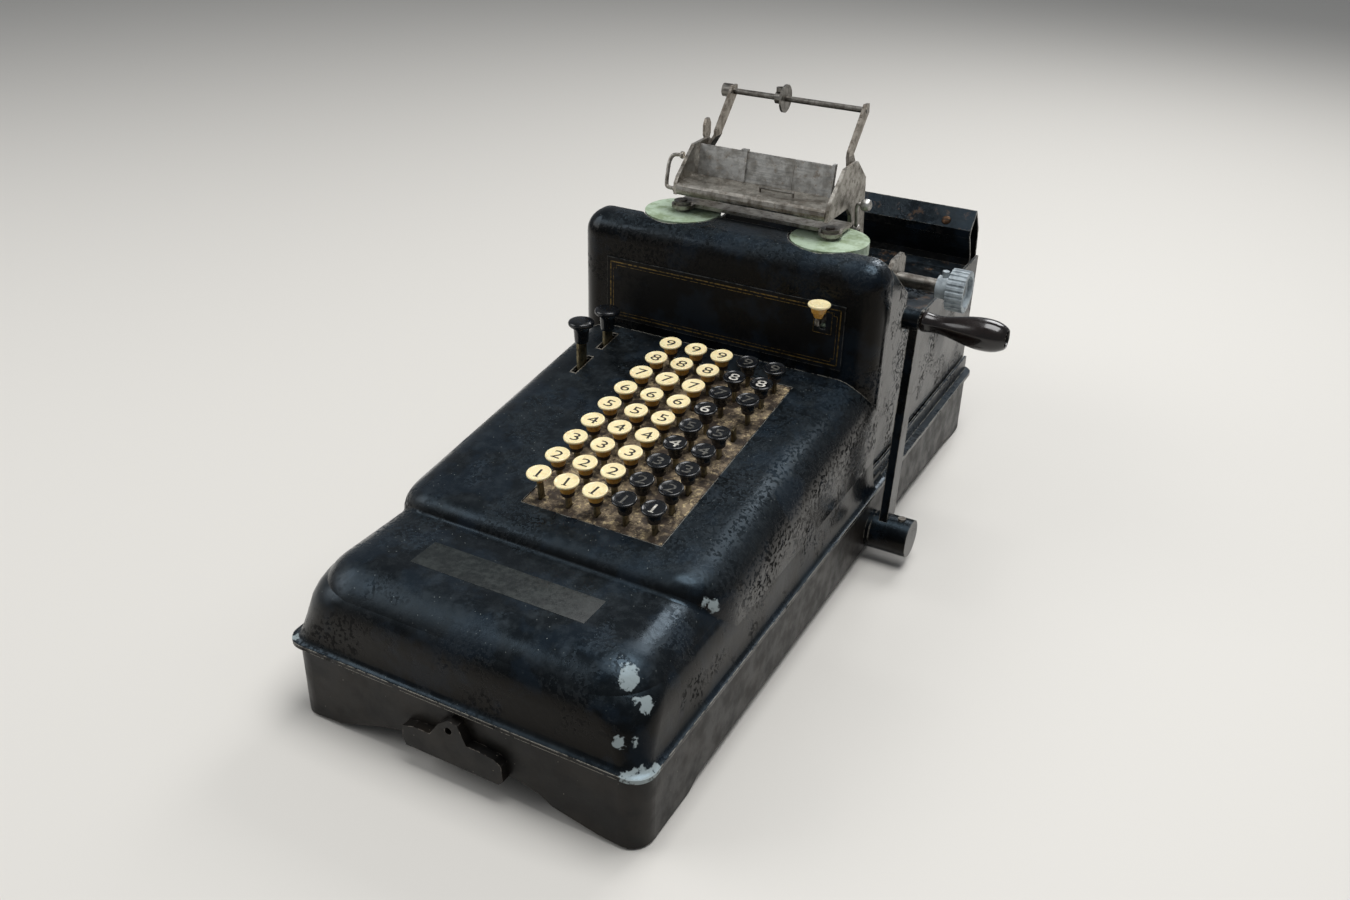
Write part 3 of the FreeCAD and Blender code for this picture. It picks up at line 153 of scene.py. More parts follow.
def coats(tree, tone, *layers):
    """Colours laid over one another, each where its share holds."""
    for share, colour in layers:
        tone = add_node(tree, "Mix", 2, {0: share, 6: tone, 7: colour}, data_type="RGBA")
    return tone


def facing_up(tree):
    """How far the surface faces up: where dust settles, and where the japan's gloss gets its
    painted bluish reflection.
    """
    normal = add_node(tree, "NewGeometry", "Normal", {})
    height = add_node(tree, "SeparateXYZ", "Z", {"Vector": normal})
    return add_node(tree, "MapRange", "Result",
                    {"Value": height, "From Min": 0.2, "From Max": 0.95},
                    interpolation_type="SMOOTHSTEP")


# the cosine between the rounded and the true normal where wear starts, and where it is full
WEAR_START = 0.98
WEAR_FULL = 0.75


def rubbed_edges(tree, radius):
    """One on sharp edges and corners, where hands and tools wear the finish."""
    rounded = add_node(tree, "Bevel", "Normal", {"Radius": radius * MM}, samples=6)
    normal = add_node(tree, "NewGeometry", "Normal", {})
    match = add_node(tree, "VectorMath", "Value", {0: rounded, 1: normal}, operation="DOT_PRODUCT")
    return add_node(tree, "MapRange", "Result",
                    {"Value": match, "From Min": WEAR_START, "From Max": WEAR_FULL},
                    interpolation_type="SMOOTHSTEP")


def relief(tree, shader, height, depth, strength):
    """Sets the shader's normal from a height between 0 and 1 that stands for depth millimetres."""
    normal = add_node(tree, "Bump", "Normal", {"Height": height, "Distance": depth * MM,
                                               "Strength": strength})
    tree.links.new(normal, shader.inputs["Normal"])


def japanned_steel(name, look, wear=1.0, blistered=1.0, satin=0.0, rust=0.0, chips=(), bad=()):
    """Black japan, a bitumen varnish baked on sheet steel.

    It is glossy with a faint orange peel, blistered in patches where it has aged, greyed by dust
    on top and rubbed to grey steel along the edges. Its gloss carries a painted reflection: tinted
    bluish where it faces up, for cool light above, and warm and dull on the walls, for a warm table
    below. Each chip, and each place where the blisters are at their worst, is a point and a radius.
    """
    black = look.japan
    material, tree, at, shader = blank_finish(name, black, 0.2, Specular_IOR_Level=0.5)
    up = facing_up(tree)
    # painted reflection: the gloss is tinted bluish where it faces up, standing in for cool light
    # above, and warm and dull on the walls, standing in for a warm table below
    tree.links.new(coats(tree, linear("8a8278"), (up, linear("b4d3ea"))),
                   shader.inputs["Specular Tint"])
    dull = clouds(tree, at, 26, 0.47, 0.6)
    worst = clouds(tree, at, 38, 0.48, 0.6)
    for centre, radius in bad:
        away = add_node(tree, "VectorMath", "Value", {0: at, 1: centre}, operation="DISTANCE")
        worst = summed(tree, worst, add_node(tree, "MapRange", "Result",
                                             {"Value": away, "From Min": radius * MM,
                                              "From Max": 0.4 * radius * MM},
                                             interpolation_type="SMOOTHSTEP"))
    pits = both(tree, clouds(tree, at, 2.4, 0.5, 0.56, 0.0, 1.0, 3.0, 0.55), worst)
    dust = both(tree, up, clouds(tree, at, 9, 0.38, 0.75, 0.12, 1.0, 5.0, 0.7))
    grains = both(tree, flecks(tree, at, 3.4, 0.36), clouds(tree, at, 15, 0.46, 0.58), up)
    rubbed = both(tree, rubbed_edges(tree, 1.3),
                  clouds(tree, at, 6, 0.4, 0.52, 0.0, wear, 5.0, 0.65))
    tone = coats(tree, black, (dull, linear("0d141b")), (both(tree, dust, 0.06), linear("6f7474")),
                 (both(tree, up, clouds(tree, at, 10, 0.56, 0.66, 0.0, rust, 5.0, 0.7)),
                  linear("54402f")),
                 (both(tree, grains, 0.6), linear("8d9390")), (rubbed, linear("a09c92")))
    for index, (centre, radius) in enumerate(chips):
        # each chip's edge is torn by noise of its own scale
        away = add_node(tree, "VectorMath", "Value", {0: at, 1: centre}, operation="DISTANCE")
        torn = clouds(tree, at, 4.5, 0.2, 0.8, 0.0, 5 * MM, 4.0, 0.6)
        inside = add_node(tree, "MapRange", "Result",
                          {"Value": summed(tree, away, torn), "From Min": (radius + 3) * MM,
                           "From Max": (radius + 1.8) * MM}, interpolation_type="SMOOTHSTEP")
        islands = clouds(tree, at, 2.6 + 0.1 * index, 0.3, 0.4)
        tone = coats(tree, tone, (both(tree, inside, islands), look.primer))
    tree.links.new(tone, shader.inputs["Base Color"])
    tree.links.new(summed(tree, clouds(tree, at, 60, 0.35, 0.65, 0.16 + satin, 0.34 + satin, 2.0),
                          both(tree, dust, 0.22), both(tree, rubbed, 0.2),
                          both(tree, pits, 0.45 * blistered)),
                   shader.inputs["Roughness"])
    peel = summed(tree, clouds(tree, at, 3.2, 0.0, 1.0, 0.0, 0.35, 2.0),
                  clouds(tree, at, 11, 0.0, 1.0, 0.0, 0.65, 2.0))
    relief(tree, shader, summed(tree, peel, both(tree, pits, -0.5 * blistered),
                                both(tree, rubbed, -0.35)), 0.22, 0.55)
    return material


def stoved_enamel(look):
    """Stoved black enamel on the pan's pressed steel: satin, browned, specked and rubbed."""
    material, tree, at, shader = blank_finish("pan_enamel", look.enamel, 0.4,
                                              Specular_IOR_Level=0.24)
    specks = both(tree, flecks(tree, at, 4.5, 0.32), clouds(tree, at, 20, 0.5, 0.6))
    rubbed = both(tree, rubbed_edges(tree, 1.2), clouds(tree, at, 4, 0.5, 0.62))
    tree.links.new(coats(tree, look.enamel, (clouds(tree, at, 22, 0.35, 0.65), linear("1f1b17")),
                         (specks, linear("8c857a")), (rubbed, linear("77716a"))),
                   shader.inputs["Base Color"])
    tree.links.new(clouds(tree, at, 14, 0.3, 0.7, 0.3, 0.5), shader.inputs["Roughness"])
    relief(tree, shader, summed(tree, clouds(tree, at, 1.4, 0.0, 1.0, 0.0, 0.5),
                                clouds(tree, at, 8, 0.0, 1.0, 0.0, 0.5)), 0.12, 0.4)
    return material


def celluloid(name, face, stain, roughness):
    """Cast celluloid of a key cap: slightly translucent, with faint stains from fingers."""
    material, tree, at, shader = blank_finish(name, face, roughness, Subsurface_Weight=0.12,
                                              Subsurface_Radius=(0.0016, 0.001, 0.0005),
                                              Subsurface_Scale=1.0)
    tree.links.new(coats(tree, face, (clouds(tree, at, 5, 0.5, 0.75, 0.0, 0.5), stain)),
                   shader.inputs["Base Color"])
    tree.links.new(clouds(tree, at, 3, 0.3, 0.7, roughness - 0.06, roughness + 0.14),
                   shader.inputs["Roughness"])
    relief(tree, shader, clouds(tree, at, 1.2, 0.0, 1.0), 0.05, 0.3)
    return material


def aged_metal(name, bright, dark, grime, roughness, along):
    """Plated or bare steel a century old: brushed one way, tarnished in clouds, grimed."""
    material, tree, at, shader = blank_finish(name, bright, roughness, Metallic=1.0)
    stretch = {"X": (0.05, 1, 1), "Z": (1, 1, 0.05)}[along]
    drawn = add_node(tree, "Mapping", "Vector", {"Vector": at, "Scale": stretch})
    lines = clouds(tree, drawn, 0.9, 0.3, 0.7, -0.08, 0.12, 3.0)
    dirt = clouds(tree, at, 4, 0.52, 0.7, 0.0, 1.0, 5.0, 0.7)
    tree.links.new(coats(tree, bright, (clouds(tree, at, 7, 0.38, 0.66, 0.0, 1.0, 5.0, 0.65), dark),
                         (both(tree, dirt, 0.8), grime)), shader.inputs["Base Color"])
    tree.links.new(summed(tree, 1.0, both(tree, dirt, -0.75)), shader.inputs["Metallic"])
    tree.links.new(summed(tree, lines, roughness, both(tree, dirt, 0.3)),
                   shader.inputs["Roughness"])
    relief(tree, shader, summed(tree, both(tree, lines, 2.5), clouds(tree, at, 2.5, 0.0, 1.0)),
           0.06, 0.45)
    return material


def flaked_paint(look):
    """The plate under the keys: cream paint flaking off brass, packed with dirt."""
    material, tree, at, shader = blank_finish("keyboard_plate", look.plate, 0.6, Metallic=0.1)
    paint = clouds(tree, at, 8, 0.42, 0.6, 0.0, 1.0, 6.0, 0.7)
    flakes = clouds(tree, at, 2.6, 0.52, 0.6, 0.0, 1.0, 5.0, 0.7)
    tree.links.new(coats(tree, linear("3a2f25"), (paint, look.plate),
                         (both(tree, flakes, paint), linear("cdb98f")),
                         (clouds(tree, at, 14, 0.5, 0.66, 0.0, 1.0, 3.0), linear("2b231c"))),
                   shader.inputs["Base Color"])
    tree.links.new(clouds(tree, at, 3, 0.3, 0.7, 0.4, 0.85), shader.inputs["Roughness"])
    relief(tree, shader, summed(tree, both(tree, flakes, 0.5),
                                clouds(tree, at, 1.5, 0.0, 1.0, 0.0, 0.5)), 0.35, 0.7)
    return material


def two_tone(name, first, second, roughness, size, depth=0.05, **settings):
    """A finish whose two close tones drift into each other, with uneven gloss and a fine skin."""
    material, tree, at, shader = blank_finish(name, first, roughness, **settings)
    tree.links.new(coats(tree, first, (clouds(tree, at, size, 0.4, 0.65), second)),
                   shader.inputs["Base Color"])
    tree.links.new(clouds(tree, at, size / 2, 0.3, 0.7, roughness - 0.05, roughness + 0.15),
                   shader.inputs["Roughness"])
    relief(tree, shader, clouds(tree, at, max(size / 6, 0.6), 0.0, 1.0, detail=3.0), depth, 0.5)
    return material


# the real threads are too fine to show, so they are drawn this many millimetres apart
THREAD_PITCH = 0.5


def woven_ribbon():
    """Inked cotton ribbon: dull, nearly black, with threads that run along it as fine ridges."""
    material, tree, at, shader = blank_finish("inked_ribbon", linear("101015"), 0.75)
    height = add_node(tree, "SeparateXYZ", "Z", {"Vector": at})
    turns = add_node(tree, "Math", "Value", {0: height, 1: math.tau / (THREAD_PITCH * MM)},
                     operation="MULTIPLY")
    threads = add_node(tree, "Math", "Value", {0: turns}, operation="SINE")
    tree.links.new(coats(tree, linear("0c0c10"), (clouds(tree, at, 5, 0.4, 0.6), linear("22222a"))),
                   shader.inputs["Base Color"])
    relief(tree, shader, threads, 0.05, 0.6)
    return material


def finished(name, shape, materials, body, smooth=45.0, replaces=()):
    """Turns a bmesh into one finished piece that rides on a body."""
    bmesh.ops.remove_doubles(shape, verts=shape.verts, dist=1e-7)
    bmesh.ops.recalc_face_normals(shape, faces=shape.faces)
    mesh = bpy.data.meshes.new(name)
    shape.to_mesh(mesh)
    shape.free()
    for material in materials:
        mesh.materials.append(material)
    mesh.polygons.foreach_set("use_smooth", [True] * len(mesh.polygons))
    mesh.set_sharp_from_angle(angle=math.radians(smooth))
    piece = bpy.data.objects.new(name, mesh)
    bpy.context.scene.collection.objects.link(piece)
    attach(piece, body)
    if replaces:
        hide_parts(*replaces)
    return piece


def join_in(shape, part, matrix, material):
    """Adds one finished part to a shape, at its place and in its material."""
    bmesh.ops.transform(part, matrix=matrix, verts=part.verts)
    for face in part.faces:
        face.material_index = material
    mesh = bpy.data.meshes.new("part")
    part.to_mesh(mesh)
    part.free()
    shape.from_mesh(mesh)
    bpy.data.meshes.remove(mesh)


def turn(shape, outline, matrix, segments, material, soften):
    """Spins an outline of (radius, height) pairs, in mm, round the matrix's Z axis.

    Its corners, apart from the first and the last, are rounded by soften millimetres.
    """
    part = bmesh.new()
    verts = [part.verts.new((radius * MM, 0, height * MM)) for radius, height in outline]
    for pair in zip(verts, verts[1:]):
        part.edges.new(pair)
    if soften:
        bmesh.ops.bevel(part, geom=verts[1:-1], offset=soften * MM, offset_type="OFFSET",
                        segments=3, profile=0.5, affect="VERTICES", material=-1,
                        clamp_overlap=True)
    bmesh.ops.spin(part, geom=part.verts[:] + part.edges[:], cent=(0, 0, 0), axis=(0, 0, 1),
                   angle=math.tau, steps=segments, use_merge=True)
    bmesh.ops.remove_doubles(part, verts=part.verts, dist=1e-7)
    bmesh.ops.recalc_face_normals(part, faces=part.faces)
    join_in(shape, part, matrix, material)


def block(shape, low, high, matrix=Matrix(), material=0, soften=0.0):
    """A block between two corners, in mm, with softened edges."""
    size = (Vector(high) - Vector(low)) * MM
    part = bmesh.new()
    bmesh.ops.create_cube(part, size=1.0, matrix=Matrix.Diagonal((*size, 1.0)))
    if soften:
        bmesh.ops.bevel(part, geom=part.edges[:], offset=soften * MM, offset_type="OFFSET",
                        segments=2, profile=0.5, affect="EDGES", material=-1,
                        clamp_overlap=True)
    centre = Matrix.Translation((Vector(high) + Vector(low)) / 2 * MM)
    join_in(shape, part, matrix @ centre, material)


def wire(shape, points, radius):
    """A round wire that follows a smooth line through control points of the drawing frame."""
    curve = bpy.data.curves.new("wire", "CURVE")
    curve.dimensions = "3D"
    curve.bevel_depth = radius * MM
    curve.bevel_resolution = 4
    curve.use_fill_caps = True
    spline = curve.splines.new("NURBS")
    spline.points.add(len(points) - 1)
    for spot, point in zip(spline.points, points):
        spot.co = (*row_point(*point), 1.0)
    spline.order_u = 3
    spline.use_endpoint_u = True
    holder = bpy.data.objects.new("wire", curve)
    mesh = bpy.data.meshes.new_from_object(holder)
    part = bmesh.new()
    part.from_mesh(mesh)
    bpy.data.objects.remove(holder)
    bpy.data.curves.remove(curve)
    bpy.data.meshes.remove(mesh)
    join_in(shape, part, Matrix(), 0)


# half the numerals' thickness in mm, and what makes the plain letter as wide as the real one
INK = 0.06
LETTER = 1.35
LETTER_WIDTH = 1.35
LETTER_HEIGHT = 0.95


def numeral(text, height):
    """The raised mesh of one digit, centred on its own middle, in metres."""
    curve = bpy.data.curves.new("numeral", "FONT")
    curve.body = text
    curve.size = height * LETTER * MM
    curve.extrude = INK * MM
    curve.resolution_u = 4
    holder = bpy.data.objects.new("numeral", curve)
    mesh = bpy.data.meshes.new_from_object(holder)
    bpy.data.objects.remove(holder)
    bpy.data.curves.remove(curve)
    spots = [vert.co for vert in mesh.vertices]
    low = Vector((min(s.x for s in spots), min(s.y for s in spots), 0))
    high = Vector((max(s.x for s in spots), max(s.y for s in spots), 0))
    mesh.transform(Matrix.Diagonal((LETTER_WIDTH, LETTER_HEIGHT, 1, 1))
                   @ Matrix.Translation(-(low + high) / 2))
    if text == "1":
        # the foot that the keys' old style numeral stands on
        shape = bmesh.new()
        shape.from_mesh(mesh)
        foot = -0.47 * height
        block(shape, (-1.7, foot - 0.25, -INK), (1.7, foot + 0.25, INK))
        shape.to_mesh(mesh)
        shape.free()
    return mesh


# key grid along the slope, in mm
FIRST_COLUMN = -20.3
COLUMN_PITCH = 19.05
KEY_FIRST = 25.8
KEY_PITCH = 20.09
# the caps' tops above the slope and the stems' lower ends below it
CAP_TOP = 18.5
STEM_LOW = 54.0
# half a stem's thickness and half its width
STEM_X = 0.8
STEM_Y = 2.35
# a stem leaves its neck this far below the cap's top
NECK_END = 10
BROKEN_END = 6.8
# the numerals' height, and how deep they lie in the cap's dish
NUMERAL_HEIGHT = 8.0
DISH = 0.74
# the key whose cap is lost: the last column, row six
BARE_STEM = (4, 6)
# outlines from the axis outwards and back, as radius and height below the top
CAP = [(0, -0.75), (4.4, -0.75), (5.9, -0.4), (6.7, 0.0), (7.4, -0.4), (7.5, -1.1), (7.2, -1.8),
       (6.2, -2.5), (5.1, -2.9), (0, -3.0)]
NECK = [(0, -2.8), (5.0, -2.8), (4.7, -5.0), (4.4, -7.2), (0, -7.3)]
# the neck's lower part, painted dark brown: grime together with painted shade under the cap
SHADED_GRIMY_NECK = [(0, -7.1), (4.35, -7.15), (4.2, -8.6), (4.0, -9.9), (0, -10)]
# the first cream cap has lost most of its neck
BROKEN_NECK = [(0, -2.8), (4.6, -2.8), (3.6, -4.4), (2.6, -5.8), (2.0, -7.0), (0, -7.2)]
BROKEN = (0, 1)
# black keys whose white numeral is nearly rubbed away, as column and row
FAINT = ((3, 1), (3, 2), (4, 2), (3, 3), (4, 3), (4, 4), (3, 5), (4, 5), (3, 7), (4, 7), (3, 9),
         (4, 9))
MUSHROOM = [(0, 0.6), (3.2, 0.5), (6.4, 0.1), (8.3, -0.7), (8.95, -1.9), (8.8, -3.2), (7.6, -4.5),
            (5.8, -5.4), (5.3, -6.8), (5.0, -10.0), (4.8, -13.5), (4.6, -15.8), (0, -16.0)]


def key_row(prefix, row, columns, finishes):
    """One row's caps, necks and flat stems, with a numeral lying in each cap's dish."""
    cap, neck, grime, stem, ink, faint_ink = finishes
    node = "%s_%d" % (prefix, row)
    along = KEY_FIRST + (row - 1) * KEY_PITCH
    shape = bmesh.new()
    signs = bmesh.new()
    glyph = numeral(str(row), NUMERAL_HEIGHT)
    for column in columns:
        x = FIRST_COLUMN + column * COLUMN_PITCH
        broken = (column, row) == BROKEN
        stem_top = CAP_TOP - (BROKEN_END if broken else NECK_END)
        block(shape, (-STEM_X, -STEM_Y, -STEM_LOW), (STEM_X, STEM_Y, stem_top),
              slope_matrix(x, along, 0), 3, 0.12)
        if (column, row) == BARE_STEM:
            continue
        place = slope_matrix(x, along, CAP_TOP)
        turn(shape, CAP, place, 36, 0, 0.25)
        turn(shape, BROKEN_NECK if broken else NECK, place, 28, 1, 0.3)
        # the lower neck's dark brown is grime together with painted shade under the cap
        if not broken:
            turn(shape, SHADED_GRIMY_NECK, place, 28, 2, 0.1)
        # the real caps have turned a little on their stems
        turned = math.radians(((row * 7 + column * 13) % 11 - 5) * 1.4)
        sign = bmesh.new()
        sign.from_mesh(glyph)
        lying = slope_matrix(x, along, CAP_TOP - DISH) @ Matrix.Rotation(turned, 4, "Z")
        join_in(signs, sign, lying, 1 if (column, row) in FAINT else 0)
    finished(node + "_caps", shape, (cap, neck, grime, stem), node, 50, (node,))
    finished(node + "_numerals", signs, (ink, faint_ink), node, 30, ())
    bpy.data.meshes.remove(glyph)


# the levers at the left of the keyboard: their X and stems' lower ends, then each one's node,
# its Y and the top of its cap
LEVER_X = -77
LEVER_LOW = 84
LEVERS = (("total_key", 256, 164), ("subtotal_key", 290, 160.4))


def mushroom_key(node, y, top, cap, stem):
    """A function key: a mushroom cap with a waisted neck on a flat stem."""
    shape = bmesh.new()
    turn(shape, MUSHROOM, Matrix.Translation(row_point(LEVER_X, y, top)), 40, 0, 0.4)
    block(shape, (-1, -5, LEVER_LOW), (1, 5, top - 15.9),
          Matrix.Translation(row_point(LEVER_X, y, 0)), 1, 0.25)
    finished(node + "_cap", shape, (cap, stem), node, 50, (node,))


# the key on the upright: its axis, its cap's top, the thin neck, and the stalk and the arm of its
# bent steel strip
ERROR_X = 74
ERROR_Y = 301
ERROR_TOP = 193
ERROR_NECK = [(0, -2.8), (5.4, -2.8), (5.1, -4.4), (4.7, -6.2), (4.0, -6.8), (3.1, -8.8),
              (2.5, -10), (0, -10.05)]
ERROR_STRIP = (((-1.5, 298.5, 177.8), (1.5, 303.5, 183)),
               ((-1.5, 301, 177.8), (1.5, 326.4, 182.8)))


def error_key(cap, neck, lever):
    """The key on the upright: a cream cap on a bent steel strip that enters the nameplate."""
    shape = bmesh.new()
    place = Matrix.Translation(row_point(ERROR_X, ERROR_Y, ERROR_TOP))
    turn(shape, CAP, place, 40, 0, 0.25)
    turn(shape, ERROR_NECK, place, 32, 1, 0.3)
    for low, high in ERROR_STRIP:
        block(shape, low, high, Matrix.Translation(row_point(ERROR_X, 0, 0)), 2, 0.4)
    finished("error_key_lever", shape, (cap, neck, lever), "error_key", 50, ("error_key",))


# the axis of the crank's grip and its half outline, as radius and distance from the body's
# centre line
GRIP_Y = 345
GRIP_Z = 177
GRIP = [(0, 129.6), (6.0, 129.6), (6.5, 130.2), (6.75, 131.6), (6.7, 133.2), (6.3, 135.0),
        (6.05, 137.5), (6.0, 140.5), (6.15, 144.0), (6.7, 147.5), (7.5, 151.0), (8.4, 155.0),
        (9.3, 159.0), (10.0, 163.0), (10.5, 167.0), (10.65, 170.5), (10.6, 174.0), (10.2, 177.5),
        (9.4, 180.6), (8.3, 183.0), (7.2, 184.8), (6.4, 185.7), (5.9, 185.6), (5.75, 185.2),
        (5.7, 181.0), (0, 180.9)]


def turned_grip(wood):
    """The crank's grip: a bead at the arm, a waist, a full belly and a hollow end for the screw."""
    shape = bmesh.new()
    turn(shape, GRIP, Matrix.Translation(row_point(0, GRIP_Y, GRIP_Z)) @ ACROSS, 64, 0, 0)
    finished("crank_grip_wood", shape, (wood,), "grip", 50, ("crank_grip",))


# the flared foot of the cover's wall: set in from the rim's edge, height and corner radius, in mm
FLARE = ((0.8, 52.52, 12.0), (1.9, 53.0, 12.2), (3.0, 54.2, 12.6), (3.9, 56.6, 13.4),
         (4.6, 60.5, 15.2), (5.2, 65.5, 18.0), (5.8, 71.5, 21.3), (6.35, 77.0, 24.2),
         (7.8, 82.0, 27.0), (9.8, 86.0, 29.2), (12.2, 88.8, 30.4))
RIM_WIDTH = 236.0
RIM_LENGTH = 562.0
# the cover's rear edge, where the flare is cut off
COVER_END = 331.0


def cover_flare(japan):
    """The foot of the cover's wall, which spreads smoothly out to the rim's edge."""
    shape = bmesh.new()
    last = []
    known = set()
    for inset, height, corner in FLARE:
        size = Matrix.Diagonal(((RIM_WIDTH / 2 - inset) * MM, (RIM_LENGTH / 2 - inset) * MM, 1, 1))
        place = Matrix.Translation(row_point(0, RIM_LENGTH / 2, height))
        made = bmesh.ops.create_grid(shape, x_segments=1, y_segments=1, size=1.0,
                                     matrix=place @ size)
        bmesh.ops.bevel(shape, geom=made["verts"], offset=corner * MM, offset_type="OFFSET",
                        segments=14, profile=0.5, affect="VERTICES", material=-1,
                        clamp_overlap=True)
        # of the rounded sheet only its edge is kept, and joined to the one below
        edges = [edge for edge in shape.edges if edge not in known]
        bmesh.ops.delete(shape, geom=list({face for edge in edges for face in edge.link_faces}),
                         context="FACES_ONLY")
        if last:
            bmesh.ops.bridge_loops(shape, edges=last + edges)
        last = edges
        known = set(shape.edges)
    bmesh.ops.bisect_plane(shape, geom=shape.verts[:] + shape.edges[:] + shape.faces[:],
                           plane_co=row_point(0, COVER_END, 0), plane_no=(0, 1, 0),
                           clear_outer=True)
    finished("cover_flare", shape, (japan,), "case", 60, ())


# the worn edges of one lever slot, about its middle: two long ones and two short ones
SLOT_EDGES = (((-2.7, -11.9, -0.4), (-2.0, 11.9, 0.12)), ((2.0, -11.9, -0.4), (2.7, 11.9, 0.12)),
              ((-2.7, -12.0, -0.4), (2.7, -11.1, 0.12)), ((-2.7, 11.1, -0.4), (2.7, 12.0, 0.12)))


def lever_slot_edges(metal):
    """The bare worn edges of the two lever slots in the deck."""
    shape = bmesh.new()
    for _, y, _ in LEVERS:
        matrix = slope_matrix(LEVER_X, (y - DECK_Y) / math.cos(SLOPE), 0)
        for low, high in SLOT_EDGES:
            block(shape, low, high, matrix, 0, 0.1)
    finished("lever_slot_edges", shape, (metal,), "case", 30, ())


# the paper release: its wire's points, then the place and outline of its hub and of its knob
RELEASE_WIRE = ((62.9, 388, 213), (63.4, 387, 218), (64, 384, 226), (64.4, 381.2, 232),
                (65.5, 380.4, 235), (68, 380.4, 235.2), (72, 380.4, 235.2))
RELEASE_HUB_AT = (61.25, 388, 214)
RELEASE_HUB = [(1.68, 0), (3.7, 0), (4, 0.5), (4, 3.5), (3.7, 4), (1.68, 4)]
RELEASE_KNOB_AT = (67.5, 380.4, 235.1)
RELEASE_KNOB = [(0, 0), (2.2, 0.1), (3.7, 1.1), (4.3, 3.1), (4.3, 4.6), (3.7, 6.4), (2.2, 7.3),
                (0, 7.4)]


def release_lever(metal):
    """The paper release: a bent wire on its hub with a small nickelled knob."""
    shape = bmesh.new()
    wire(shape, RELEASE_WIRE, 1.4)
    turn(shape, RELEASE_HUB, Matrix.Translation(row_point(*RELEASE_HUB_AT)) @ ACROSS, 28, 0, 0.2)
    turn(shape, RELEASE_KNOB, Matrix.Translation(row_point(*RELEASE_KNOB_AT)) @ ACROSS, 32, 0, 0.5)
    finished("release_lever_wire", shape, (metal,), "release_lever", 50, ("release_lever",))


# the nameplate's outline on the upright's face, in mm
PLATE_SIDE = 89.0
PLATE_LOW = 145.0
PLATE_HIGH = 190.0
PLATE_FACE_Y = 310.5 - 0.8
# how far the gold lies below the plate's face and stands above it
GOLD_SUNK = 0.02
GOLD_PROUD = 0.05
# the little frame round the slot of the key on the upright: left, right, low, high and line width
SLOT_FRAME = (67.5, 80.5, 168.8, 184.4, 0.4)


def pinstripes(look, gold):
    """Two gold lines round the bare nameplate, the inner one notched, and the slot's frame."""
    shape = bmesh.new()
    wide = look.pinstripe / MM
    frames = [(inset - PLATE_SIDE, PLATE_SIDE - inset, PLATE_LOW + inset, PLATE_HIGH - inset, width,
               notch) for inset, width, notch in ((2.6, wide, 0.0), (5.0, 0.45 * wide, 2.4))]
    for left, right, low, high, width, notch in (*frames, (*SLOT_FRAME, 0.0)):
        lines = [((left + notch, low), (right - notch, low + width)),
                 ((left + notch, high - width), (right - notch, high)),
                 ((left, low + notch), (left + width, high - notch)),
                 ((right - width, low + notch), (right, high - notch))]
        for x, z, dx, dz in ((left, low, 1, 1), (right, low, -1, 1), (left, high, 1, -1),
                             (right, high, -1, -1)):
            if notch:
                inner = (x + dx * (notch + width), z + dz * (notch + width))
                lines += [((x, z + dz * notch), inner), ((x + dx * notch, z), inner)]
        for (x0, z0), (x1, z1) in lines:
            block(shape, (min(x0, x1), PLATE_FACE_Y - GOLD_PROUD, min(z0, z1)),
                  (max(x0, x1), PLATE_FACE_Y + GOLD_SUNK, max(z0, z1)), TO_ROW)
    finished("nameplate_pinstripes", shape, (gold,), "case")


# two corners of the strip on the hump
LABEL = ((-57, 43.5, 100.98), (56.5, 66, 101.14))


def label_strip(paper):
    """The bare strip stuck across the top of the hump."""
    shape = bmesh.new()
    block(shape, *LABEL, TO_ROW, 0, 0.08)
    finished("hump_label_strip", shape, (paper,), "case")


# the screws of the rear lip: how far they stand from the middle, their Y and Z, the lip's tilt
# and the outline of their heads
SCREW_X = 86
SCREW_Y = 531.6
SCREW_Z = 184.2
SCREW_TILT = math.radians(47)
SCREW_HEAD = [(0, 1.4), (2.2, 1.3), (3.2, 0.85), (3.6, 0.3), (3.6, -0.3), (0, -0.3)]


def screws(metal, dark):
    """Slotted round heads that hold the rear lip."""
    shape = bmesh.new()
    for x in (-SCREW_X, SCREW_X):
        matrix = (Matrix.Translation(row_point(x, SCREW_Y, SCREW_Z))
                  @ Matrix.Rotation(SCREW_TILT, 4, "X"))
        turn(shape, SCREW_HEAD, matrix, 28, 0, 0.2)
        block(shape, (-3.3, -0.3, 1.05), (3.3, 0.3, 1.46), matrix, 1)
    finished("rear_lip_screws", shape, (metal, dark), "case")


# the link's points from one end in the carriage's left side to the other, and a washer's outline
LINK = ((-52.9, 352, 256.5), (-57, 352, 256.5), (-61, 351, 255.8), (-62.4, 349, 252),
        (-62, 346, 245), (-61.5, 343.5, 237.5), (-60, 342.3, 235.2), (-52.9, 342.5, 235.5))
WASHER_X = -54
WASHER = [(0, -1), (2.4, -1), (2.6, 0), (2.4, 1), (0, 1)]


def carriage_link(metal):
    """The bent wire link with washers at the carriage's left side."""
    shape = bmesh.new()
    wire(shape, LINK, 1.3)
    for _, y, z in (LINK[0], LINK[-1]):
        turn(shape, WASHER, Matrix.Translation(row_point(WASHER_X, y, z)) @ ACROSS, 24, 0, 0.2)
    finished("carriage_link", shape, (metal,), "case")


# half the floor's side in metres
FLOOR_HALF = 6.0
# the lamps: name, place in metres, size in metres, share of the key lamp's power
LAMPS = (("key", (0.35, 0.0, 1.9), 1.1, 1.0), ("back", (0.15, 1.5, 1.35), 0.8, 0.48),
         ("fill", (-1.5, -0.8, 1.2), 1.3, 0.5))
# where all of them point
LIT = Vector((0, 0, 0.1))
# the camera's place in the drawing frame
CAMERA = (336.96, -398.85, 496.7)


